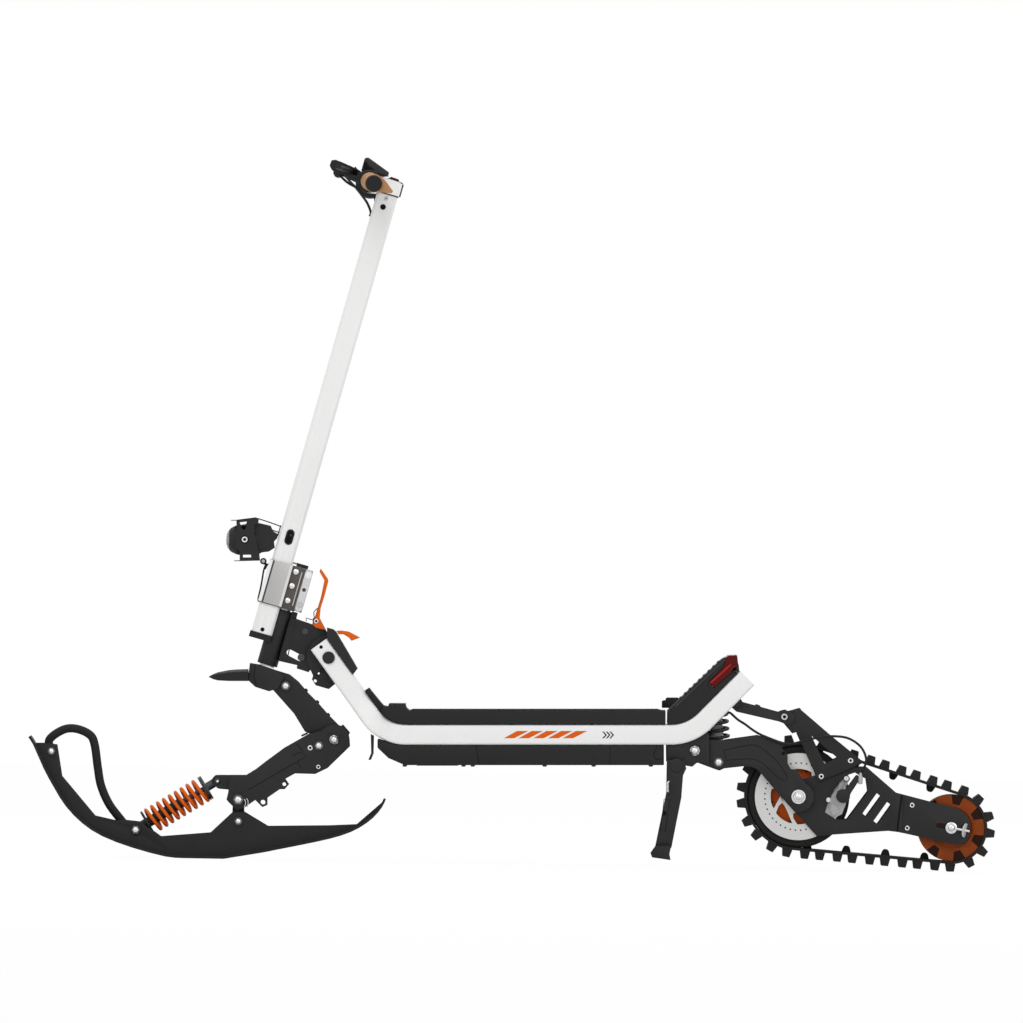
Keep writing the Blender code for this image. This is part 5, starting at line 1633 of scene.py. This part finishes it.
def make_front_spring():
    """The orange coil and the disc at its upper end."""
    foot = (SHOCK_FOOT[0], 0, SHOCK_FOOT[1])
    top = (SHOCK_TOP[0], 0, SHOCK_TOP[1])
    points = coil(foot, top, 31, 145, 9)
    wire("fine_shock_spring", points, SPRING_WIRE / 2, "orange_paint", "damper", ("shock_spring",))
    disc = [(8.4, 26.4), (23.6, 26.4), (24.6, 27.4), (24.6, 28.2), (23.6, 29), (8.4, 29)]
    piece("spring_disc", along(top, foot, disc, 48, True), "dark_steel", "rod", 0.2)


make_front_spring()

# %% [markdown]
# ## Belt
#
# The rubber belt runs round the large drive wheel and the smaller idler. Its middle line is
# two arcs and two straight runs that touch both wheels. The angle between the runs and the
# line of the wheels follows from the difference of the two radii, as for any open belt.

# %% Belt's size
AXLE = (526.2, 123.8)
IDLER_X = 807.2
DRIVE_RADIUS = 94
IDLER_RADIUS = 61.5
BELT_THICKNESS = 5
LUG_HEIGHT = 14


def belt_shape():
    """Belt's turning radii, straight run, lean of the wheels' line and its spread."""
    big = DRIVE_RADIUS + BELT_THICKNESS / 2
    small = IDLER_RADIUS + BELT_THICKNESS / 2
    line = Vector(IDLER) - Vector(AXLE)
    spread = asin((big - small) / line.length)
    return big, small, line.length * cos(spread), atan2(line.y, line.x), spread


IDLER = (IDLER_X, (IDLER_RADIUS + BELT_THICKNESS + LUG_HEIGHT - IDLER_X * sin(STANCE)) / cos(STANCE))
BIG, SMALL, STRAIGHT, LEAN, SPREAD = belt_shape()
RUNS = (STRAIGHT, SMALL * (pi - 2 * SPREAD), STRAIGHT, BIG * (pi + 2 * SPREAD))
print("belt length", round(sum(RUNS)), "mm")

# %% [markdown]
# A lug or a link needs to know where it lies and which way is outward. A curve with an array
# modifier could tell it. A function of the distance along the belt is easier to check, and it
# serves the band, the outer lugs and the guide lugs alike.


# %% A place on the belt
def belt_line(distance):
    """Point and outward direction on the belt's middle line, from the drive's lower end."""
    distance %= sum(RUNS)
    low = LEAN - pi / 2 + SPREAD
    high = LEAN + pi / 2 - SPREAD
    if distance < RUNS[0]:
        way = Vector((cos(low), sin(low)))
        return Vector(AXLE) + way * BIG + Vector((-way.y, way.x)) * distance, way
    distance -= RUNS[0]
    if distance < RUNS[1]:
        way = Vector((cos(low + distance / SMALL), sin(low + distance / SMALL)))
        return Vector(IDLER) + way * SMALL, way
    distance -= RUNS[1]
    if distance < RUNS[2]:
        way = Vector((cos(high), sin(high)))
        return Vector(IDLER) + way * SMALL + Vector((-way.y, way.x)) * distance, way
    way = Vector((cos(high + (distance - RUNS[2]) / BIG), sin(high + (distance - RUNS[2]) / BIG)))
    return Vector(AXLE) + way * BIG, way


print("the belt's run starts at", [round(measure, 1) for measure in belt_line(0)[0]])

# %% [markdown]
# The outer lugs are tapered bars that grip the snow, set in pairs all round. Fifteen rounded
# guide lugs stand inside, which keep the belt on its wheels. Each lug is an outline set
# square to the belt at its place.


# %% Lugs
def lug(distance, base, top, height):
    """Four corners of one lug, square to the belt at its middle."""
    point, way = belt_line(distance)
    run = Vector((-way.y, way.x))
    root = point + way * BELT_THICKNESS / 2
    tip = root + way * height
    return [root - run * base / 2, tip - run * top / 2, tip + run * top / 2, root + run * base / 2]


def guide_lug(distance):
    """A guide lug on the belt's inside, with a round end."""
    point, way = belt_line(distance)
    run = Vector((-way.y, way.x))
    shape = []
    half = [(9, 0), (8.4, 3), (6.6, 9), (5, 12.2), (2.4, 13.8)]
    half += [(-sideways, depth) for sideways, depth in half[::-1]]
    for sideways, depth in half:
        shape.append(tuple(point - way * depth + run * sideways))
    return plate(shape, -11, 11)


print("lug at the belt's start:", [[round(v) for v in corner] for corner in lug(0, 18, 12.5, LUG_HEIGHT)])

# %% [markdown]
# The belt itself is a thin band. The band and its lugs are one rubber moulding, so they are
# joined into one piece, which stands for the CAD belt. One of the outer lugs is set so that
# it stands on the ground right under the idler.

# %% Belt
BELT_HALF = 48
OUTER_LUGS = 36
LUG_SHARE = 0.46
GUIDE_LUGS = 15


def make_belt():
    """The belt's band, its outer lugs and its guide lugs."""
    total = sum(RUNS)
    pitch = total / (OUTER_LUGS / 2)
    ground_lug = RUNS[0] + SMALL * (-pi / 2 - STANCE - (LEAN - pi / 2 + SPREAD))
    steps = 220
    rows = [belt_line(total * step / steps) for step in range(steps)]
    outer = [tuple(point + way * BELT_THICKNESS / 2) for point, way in rows]
    inner = [tuple(point - way * (BELT_THICKNESS / 2 - 0.05)) for point, way in rows]
    parts = [plate(outer, -BELT_HALF, BELT_HALF, [inner])]
    for index in range(OUTER_LUGS):
        first_of_pair = ground_lug - LUG_SHARE * pitch + pitch * (index // 2)
        here = first_of_pair + (LUG_SHARE * pitch if index % 2 else 0)
        parts.append(plate([tuple(p) for p in lug(here, 18, 12.5, LUG_HEIGHT)], -BELT_HALF, BELT_HALF))
    parts += [guide_lug(total * (index + 0.35) / GUIDE_LUGS) for index in range(GUIDE_LUGS)]
    piece("fine_track_belt", together(parts), "black_rubber", "track", 0.5, ("track_belt",))


make_belt()

# %% [markdown]
# ## Wheels and brake disc
#
# The drive wheel has a narrow black tyre and an orange hub that holds the motor. Both are
# turned profiles that are mirrored about the middle, so only one half of each is written
# down.


# %% Drive wheel
def wheel_points(centre, rows):
    """Points given as (radius, degrees) about a wheel's centre."""
    return [(centre[0] + r * cos(radians(t)), centre[1] + r * sin(radians(t))) for r, t in rows]


def make_drive_wheel():
    """The tyre and the hub with its ring of screws."""
    tyre = [(68.3, -45), (72, -46.5), (88, -46.5), (91.5, -45), (93.9, -42), (93.9, -13), (78.5, -12.5)]
    tyre += [(r, -y) for r, y in tyre[::-1]]
    piece("fine_drive_wheel", across(AXLE, tyre, 96, True), "black_rubber", "drive", 0, ("drive_wheel",))
    hub = [(8.4, -53.4), (22, -53.4), (24, -52), (24, -44.5), (58, -44.5), (62, -42.5), (68, -36)]
    hub += [(r, -y) for r, y in hub[::-1]]
    piece("fine_hub_motor", across(AXLE, hub, 96, True), "orange_hub", "drive", 0, ("hub_motor",))
    spots = wheel_points(AXLE, [(50, 60 * k + 12) for k in range(6)])
    make_screws("hub_screws", "drive", [(*spot, 44.3, 3) for spot in spots], "dark_steel")


make_drive_wheel()

# %% [markdown]
# The brake disc has forty small holes and seven curved windows, through which the orange hub
# shows. Booleans could cut them. Here the holes are part of the outline before it is filled,
# which is quicker and leaves a clean mesh. Dark discs behind the small holes are painted shade.

# %% Brake disc
HOLE_COUNT = 40
HOLE_RING = 61.8
WINDOW_TURN = 51.43


def make_brake_disc():
    """The pierced disc and painted shade behind its small holes."""
    windows = []
    for k in range(7):
        turn = WINDOW_TURN * k
        rim = [(51, 216 + turn + 34 * i / 8) for i in range(9)]
        back = [(50.2, 257 + turn), (38.5, 243 + turn), (32.5, 228 + turn), (30.6, 214 + turn),
                (31.6, 201 + turn)]
        windows.append(wheel_points(AXLE, [*rim, *back, (40, 205 + turn)]))
    spots = wheel_points(AXLE, [(HOLE_RING, 360 / HOLE_COUNT * k + 4) for k in range(HOLE_COUNT)])
    holes = [circle(spot, 1.5, 14) for spot in spots]
    disc = plate(circle(AXLE, 80, 128), -56, -53.7, [circle(AXLE, 8.4, 40), *windows, *holes])
    piece("fine_brake_disc", disc, "disc_steel", "drive", 0.15, ("brake_disc",))
    # Painted shade: a dark disc behind each small hole.
    dots = [across(spot, rod(1.52, -54.4, -54.2), 12) for spot in spots]
    piece("disc_hole_shades", together(dots), "deep_black", "drive")


make_brake_disc()

# %% [markdown]
# The idler is a rust-orange wheel with two flanges and a hub between them. Seven recesses lie
# round each flange, and a raised lip runs inside them. The recesses' darkness is painted shade
# on thin dark sheets on the flange's face, because only their outline is seen.


# %% Idler
def make_idler():
    """Two rust-orange flanges with painted shade in their recesses, a raised lip and the hub between them.
    """
    parts = []
    recess_shades = []
    for k in range(7):
        turn = 27 + 360 / 7 * k
        corners = [(60.9, turn - 11), (61, turn), (60.9, turn + 11), (44, turn + 8), (44, turn - 8)]
        recess_shades.append(wheel_points(IDLER, corners))
    for side in (-1, 1):
        low, high = sorted((side * 13, side * 44.5))
        parts.append(plate(circle(IDLER, 61.2, 96), low, high, [circle(IDLER, 6.5, 32)]))
        lip = [(37.5, side * 44), (40.5, side * 44), (40.5, side * 46.4), (39.5, side * 47),
               (37.5, side * 46.4)]
        parts.append(across(IDLER, lip, 96, True))
    parts.append(across(IDLER, [(6.5, -14), (40, -14), (40, 14), (6.5, 14)], 64, True))
    piece("fine_idler_wheel", together(parts), "rust_wheel", "idler", 0.8, ("idler_wheel",))
    # Painted shade: thin dark sheets in the recesses.
    piece("idler_recess_shades", together([pair(edge, 44.3, 44.7) for edge in recess_shades]), "painted_hollow_shade", "idler")


make_idler()

# %% [markdown]
# The drive axle ends in a washer, a hexagon nut and a dome on each side. It stays on the
# track's plates while the wheel turns round it.


# %% Drive axle
def make_drive_axle():
    """The drive axle with its washers, nuts and domes."""
    nut = rod(13, 80.3, 81.6)
    hexagon = [(0, 81.5), (11, 81.5), (11, 86), (9.6, 87.4), (0, 87.4)]
    crown = [(6.6 * cos(radians(t)), 87.4 + 3.4 * sin(radians(t))) for t in range(0, 90, 15)]
    dome = [(0, 87.2), (6.6, 87.2), *crown, (0, 90.8)]
    parts = [across(AXLE, rod(7.9, -80, 80), 32)]
    for side in (-1, 1):
        for profile, sides in ((nut, 40), (hexagon, 6), (dome, 32)):
            parts.append(across(AXLE, [(r, side * (y - 0.3)) for r, y in profile], sides))
    piece("fine_drive_axle", together(parts), "bright_steel", "track", 0.3, ("drive_axle",))


make_drive_axle()

# %% [markdown]
# The idler's axle sits in a slot, so that the belt can be tightened. On each side it has a
# round knob, a short rod behind it and a leaning round washer. Leaning parts are turned along
# a line in space, so no angle has to be worked out for them.


# %% Idler axle and tensioner
def make_idler_axle():
    """The idler's axle, the rods, the leaning washers and painted shade for the slot."""
    ring = [(0, 56.3), (10.6, 56.3), (10.6, 58.2), (8.6, 58.8), (8.6, 58.4), (0, 58.4)]
    crown = [(6.4 * cos(radians(t)), 60 + 3.6 * sin(radians(t))) for t in range(15, 90, 15)]
    knob = [(0, 58.2), (6.4, 58.2), (6.4, 60), *crown, (0, 63.6)]
    parts = [across(IDLER, rod(5.9, -56, 56), 32)]
    washers = []
    for side in (-1, 1):
        parts += [across(IDLER, [(r, side * y) for r, y in profile], 40) for profile in (ring, knob)]
        rod_end = (IDLER[0] + 30, side * 59, IDLER[1] - 5.6)
        parts.append(along((IDLER[0] + 7, side * 59, IDLER[1] - 1.2), rod_end, rod(2.4, 0, 27), 24))
        lean = Vector((cos(radians(20)) * 0.97, side * sin(radians(20)), -0.18))
        middle = Vector((IDLER[0] + 25, side * 59, IDLER[1] - 4.4))
        washer = [(0, -1.4), (12.5, -1.4), (13.5, 0), (12.5, 1.4), (0, 1.4)]
        washers.append(along(middle, middle + lean, washer, 48))
    piece("fine_idler_axle", together(parts), "bright_steel", "track", 0.2, ("idler_axle",))
    piece("tension_washers", together(washers), "light_metal", "track", 0.2)
    # Painted shade: a dark sheet for the slot's opening.
    slot = pair(capsule((784, 71), (796, 69.4), 4.6), 55.9, 56.15)
    piece("idler_slot_shade", slot, "painted_hollow_shade", "track")


make_idler_axle()

# %% [markdown]
# ## Rear suspension and brake
#
# The swingarm's side has a pressed outline and a small hole, and the track's plates have a
# bend and an upper fold. All are shallow, so they are dark strips on the face: painted shade
# in the creases, the bend, the fold and the hole.


# %% Swingarm and plate lines
def make_rear_lines():
    """Painted shade in the swingarm's pressed outline and hole, and at the plates' bend and fold."""
    groove = [(388.7, 209.2), (420, 216), (436, 219), (447, 219), (459, 213), (481, 195), (493, 181),
              (506, 161), (501.8, 151.2), (489, 159), (461, 185), (446, 193), (429, 193.5), (394, 190.7),
              (388.7, 209.2)]
    # Painted shade: dark strips along the crease and a dark disc for the hole.
    lines = [pair(band(groove, 1), 79.9, 80.25), pair(circle((498.3, 203.6), 3.4), 79.9, 80.15)]
    piece("swingarm_crease_shade", together(lines), "deep_black", "swing")
    # Painted shade at the plates' bend and fold.
    bend = band([(715.6, 126), (707.6, 60.5)], 3.2)
    edge = band([(563, 150.5), (613, 171), (644, 186)], 1)
    piece("track_bend_shade", together([pair(bend, 63.9, 64.2), pair(edge, 67.9, 68.2)]), "deep_black", "track")


make_rear_lines()

# %% [markdown]
# A dark coil with a pale ribbed boot inside it springs the swingarm against the frame. The
# boot is one turned zigzag profile. Two black caps close the tube that carries the upper
# link.


# %% Rear spring
def make_rear_spring():
    """The link tube's caps, the dark coil and its ribbed boot."""
    start = Vector((SWING_SHOCK[0], 0, SWING_SHOCK[1]))
    end = Vector((REAR_SHOCK_TOP[0], 0, REAR_SHOCK_TOP[1]))
    caps = both_sides(*LINK_FRONT, 77.8, [(0, 0), (9.4, 0), (9.4, 2), (8.6, 2.6), (0, 2.6)])
    piece("link_tube_caps", caps, "black_paint", "deck", 0.2)
    points = coil(start, end, 36.6, 90, 4)
    wire("fine_rear_spring", points, SPRING_WIRE / 2, "dark_steel", "swing", ("rear_shock_spring",))
    bellows = [(9, 34)]
    for step in range(6):
        bellows += [(15, 37 + 9 * step), (11, 41.5 + 9 * step)]
    piece("spring_boot", along(start, end, [*bellows, (9, 92)], 40), "light_metal", "swing", 0)


make_rear_spring()

# %% [markdown]
# The brake cable leaves the rail's end, crosses the swingarm and hooks down to the caliper.
# It has fifteen measured points, and a smooth curve through them keeps its sag.


# %% Brake cable
def make_brake_cable():
    """The cable from the rail's end to the caliper."""
    route = [(390, -71, 277), (400, -71, 278), (414, -74, 266), (428, -80, 257), (446, -84, 244),
             (466, -84, 234), (505, -84, 221)]
    route += [(534, -84, 226), (564, -84, 233), (592, -84, 235), (618, -84, 231), (640, -84, 216),
              (650, -84, 195), (647, -84, 178), (640, -84, 166)]
    wire("fine_brake_cable", smooth(route, 8), 2.2, "black_rubber", "deck", ("brake_cable",))


make_brake_cable()

# %% [markdown]
# The cast caliper holds a round cap, two screws in its ears and small raised pads. The
# brake's arm turns on a round hub, and the cable ends in a stepped barrel above it. The cap
# and the hub have broad roundings, so these are in the profile itself and not left to the
# bevel.

# %% Caliper
CALIPER = (608, 125)


def make_caliper_details():
    """The cap, the arm's hub, the ear screws, the pads and the cable's barrel."""
    cap = [(0, -75.9), (9.4, -75.9), (11.6, -74.4), (12.9, -71.5), (12.9, -60), (0, -60)]
    piece("caliper_cap", across(CALIPER, cap, 48), "cast_silver", "track", 0.3)
    hub = [(0, -84.2), (11.4, -84.2), (12.7, -83.4), (12.7, -77), (0, -77)]
    piece("brake_arm_hub", across(CALIPER, hub, 48), "black_paint", "brake_arm", 0.3)
    screw = [(0, -62), (4.4, -62), (4.4, -69.6), (3.6, -70.2), (2.2, -70.2), (2, -69), (0, -69)]
    ears = [across(spot, screw, 24) for spot in ((614.2, 157.2), (581.3, 117.9))]
    piece("caliper_screws", together(ears), "bright_steel", "track", 0.2)
    low_pad = plate([(588, 112), (597, 108), (603, 94), (590, 88), (583, 99)], -72, -58)
    high_pad = plate([(602, 150), (609, 148), (606, 138), (596, 132)], -72, -58)
    piece("caliper_pads", together([low_pad, high_pad]), "cast_silver", "track", 0.8)
    steps = [(0, 0), (2.6, 0), (2.6, 5), (4.2, 6), (4.2, 19), (3, 21), (0, 21)]
    barrel = along((640, -84, 168), (639.2, -84, 145), steps, 24)
    piece("barrel_adjuster", barrel, "silver", "deck", 0.2)


make_caliper_details()

# %% [markdown]
# ## Kickstand
#
# The stand is a black leg on a round knuckle, with a pressed recess and a lock hole in its
# side; thin dark strips paint the shade at the recess's edge, in the hole and along a fold. A
# sleeve thickens its inner side. A small silver spring pulls it up, wound so tightly that a
# plain helix of ninety-six short steps is enough.


# %% Kickstand
def coil_small(start, end):
    """Points of the kickstand's thin spring."""
    points = []
    for step in range(97):
        turn = radians(30 * step)
        rise = start[2] + (end[2] - start[2]) * step / 96
        points.append((start[0] + 2.4 * cos(turn), start[1] + 2.4 * sin(turn), rise))
    return points


def make_stand_details():
    """Painted shade along the leg's pressed recess, lock hole and fold, its knuckle, its sleeve and its
    small spring.
    """
    outline = [(279, 120), (290, 120), (281, 60), (272, 60), (279, 120)]
    slot = circle((279.5, 94), 4.2, 24)
    fold = band([(270, 40), (292, 36)], 1)
    # Painted shade: dark strips at the recess's edge, in the lock hole and along the fold.
    lines = [plate(band(outline, 1), -100.45, -100.1), plate(slot, -100.4, -100.1),
             plate(fold, -110.2, -109.8)]
    piece("stand_crease_shade", together(lines), "deep_black", "stand")
    knuckle = across((302, 181), [(0, -101), (11, -101), (13, -99.5), (13, -97), (0, -97)], 40)
    piece("stand_knuckle", knuckle, "black_paint", "stand", 0.4)
    sleeve = [(282.3, 126), (311.5, 126), (292.5, 30), (264, 36)]
    piece("stand_sleeve", plate(sleeve, -100.2, -86.6), "black_paint", "stand", 0.8)
    run = coil_small((285.6, -101, 152), (285.6, -101, 133))
    wire("stand_spring", run, 0.9, "bright_steel", "stand")


make_stand_details()

# %% [markdown]
# ## Camera
#
# The picture to match is a side view from far away, where near and far parts have the same
# scale. An orthographic camera would do that too. A long lens from 40 metres keeps the little
# perspective that a real camera has. One pixel of the picture is 1.84 mm.

# %% Camera
CAMERA_DISTANCE = 40000
PICTURE_CENTRE = (-0.92, 647.7)
PICTURE_WIDTH = 1882.3
SENSOR_WIDTH = 36


def make_camera():
    """The photograph's camera."""
    data = bpy.data.cameras.new("camera")
    data.sensor_width = SENSOR_WIDTH
    data.lens = SENSOR_WIDTH * CAMERA_DISTANCE / PICTURE_WIDTH
    data.clip_end = 200
    camera = bpy.data.objects.new("camera", data)
    bpy.context.collection.objects.link(camera)
    spot = Vector((PICTURE_CENTRE[0], -CAMERA_DISTANCE, PICTURE_CENTRE[1])) * MM
    camera.matrix_world = DRAWING @ Matrix.Translation(spot) @ Matrix.Rotation(pi / 2, 4, "X")
    bpy.context.scene.camera = camera


make_camera()

# %% [markdown]
# ## Light
#
# Product pictures use large soft lamps, which give broad, gentle highlights. Four square
# lamps stand round the scooter: the key and the fill in front, one above and one behind,
# which edges the black parts.


# %% Lamps round the scooter
def make_light(name, place, size, power, aim=(0, 0, 0.4)):
    """A large soft light aimed at the scooter."""
    data = bpy.data.lights.new(name, "AREA")
    data.shape = "SQUARE"
    data.size = size
    data.energy = power
    light = bpy.data.objects.new(name, data)
    bpy.context.collection.objects.link(light)
    light.location = place
    light.rotation_euler = (Vector(aim) - Vector(place)).to_track_quat("-Z", "Y").to_euler()


make_light("key", (-2.5, -5, 5), 4, 90)
make_light("fill", (4, -5, 2.5), 4, 45)
make_light("top", (0, 1, 6), 5, 80)
make_light("rim", (2, 5, 3), 4, 40)

# %% [markdown]
# The surround is white to the camera but a little dimmer as a light, so that the white stem
# doesn't melt into it. The light-path node tells the two apart. Gloss and glass see the
# bright surround as well.


# %% Surround
def make_world():
    """An even pale surround; the camera, gloss and glass see it as white."""
    world = bpy.data.worlds.new("surround")
    bpy.context.scene.world = world
    world.use_nodes = True
    nodes, links = world.node_tree.nodes, world.node_tree.links
    light = nodes["Background"]
    light.inputs["Color"].default_value = (1, 1, 1, 1)
    light.inputs["Strength"].default_value = 0.66
    seen = nodes.new("ShaderNodeBackground")
    seen.inputs["Color"].default_value = (1, 1, 1, 1)
    seen.inputs["Strength"].default_value = 1.0
    path = nodes.new("ShaderNodeLightPath")
    glossy = nodes.new("ShaderNodeMath")
    glossy.operation = "MAXIMUM"
    links.new(path.outputs["Is Camera Ray"], glossy.inputs[0])
    links.new(path.outputs["Is Glossy Ray"], glossy.inputs[1])
    through = nodes.new("ShaderNodeMath")
    through.operation = "MAXIMUM"
    links.new(glossy.outputs["Value"], through.inputs[0])
    links.new(path.outputs["Is Transmission Ray"], through.inputs[1])
    mix = nodes.new("ShaderNodeMixShader")
    links.new(through.outputs["Value"], mix.inputs["Fac"])
    links.new(light.outputs["Background"], mix.inputs[1])
    links.new(seen.outputs["Background"], mix.inputs[2])
    links.new(mix.outputs["Shader"], nodes["World Output"].inputs["Surface"])


make_world()

# %% [markdown]
# A pale floor catches the soft shadow under the ski and the track. Its paint is lit from
# within for the camera only, so that the floor fades into the surround without a horizon.

# %% Floor
FLOOR_HALF = 14
FLOOR_DROP = 0.0004


def floor_paint():
    """Near-white paint that the camera sees partly lit from within, so it meets the surround."""
    made = finish("floor_paint", (0.9, 0.9, 0.9), (0.7, 0.9), drift=0.01, grain=40, bump=0.02)
    nodes, links = made.node_tree.nodes, made.node_tree.links
    glow = nodes.new("ShaderNodeEmission")
    glow.inputs["Color"].default_value = (1, 1, 1, 1)
    glow.inputs["Strength"].default_value = 1.0
    path = nodes.new("ShaderNodeLightPath")
    share = nodes.new("ShaderNodeMath")
    share.operation = "MULTIPLY"
    share.inputs[1].default_value = 0.97
    links.new(path.outputs["Is Camera Ray"], share.inputs[0])
    mix = nodes.new("ShaderNodeMixShader")
    links.new(share.outputs["Value"], mix.inputs["Fac"])
    links.new(nodes["Principled BSDF"].outputs["BSDF"], mix.inputs[1])
    links.new(glow.outputs["Emission"], mix.inputs[2])
    links.new(mix.outputs["Shader"], nodes["Material Output"].inputs["Surface"])
    return made


def make_floor():
    """A pale floor."""
    mesh = bpy.data.meshes.new("floor")
    ring = ((-1, -1), (1, -1), (1, 1), (-1, 1))
    corners = [(x * FLOOR_HALF, y * FLOOR_HALF, -FLOOR_DROP) for x, y in ring]
    mesh.from_pydata(corners, [], [(0, 1, 2, 3)])
    floor = bpy.data.objects.new("floor", mesh)
    bpy.context.collection.objects.link(floor)
    floor.data.materials.append(floor_paint())


make_floor()
bpy.context.scene.view_settings.view_transform = "Standard"
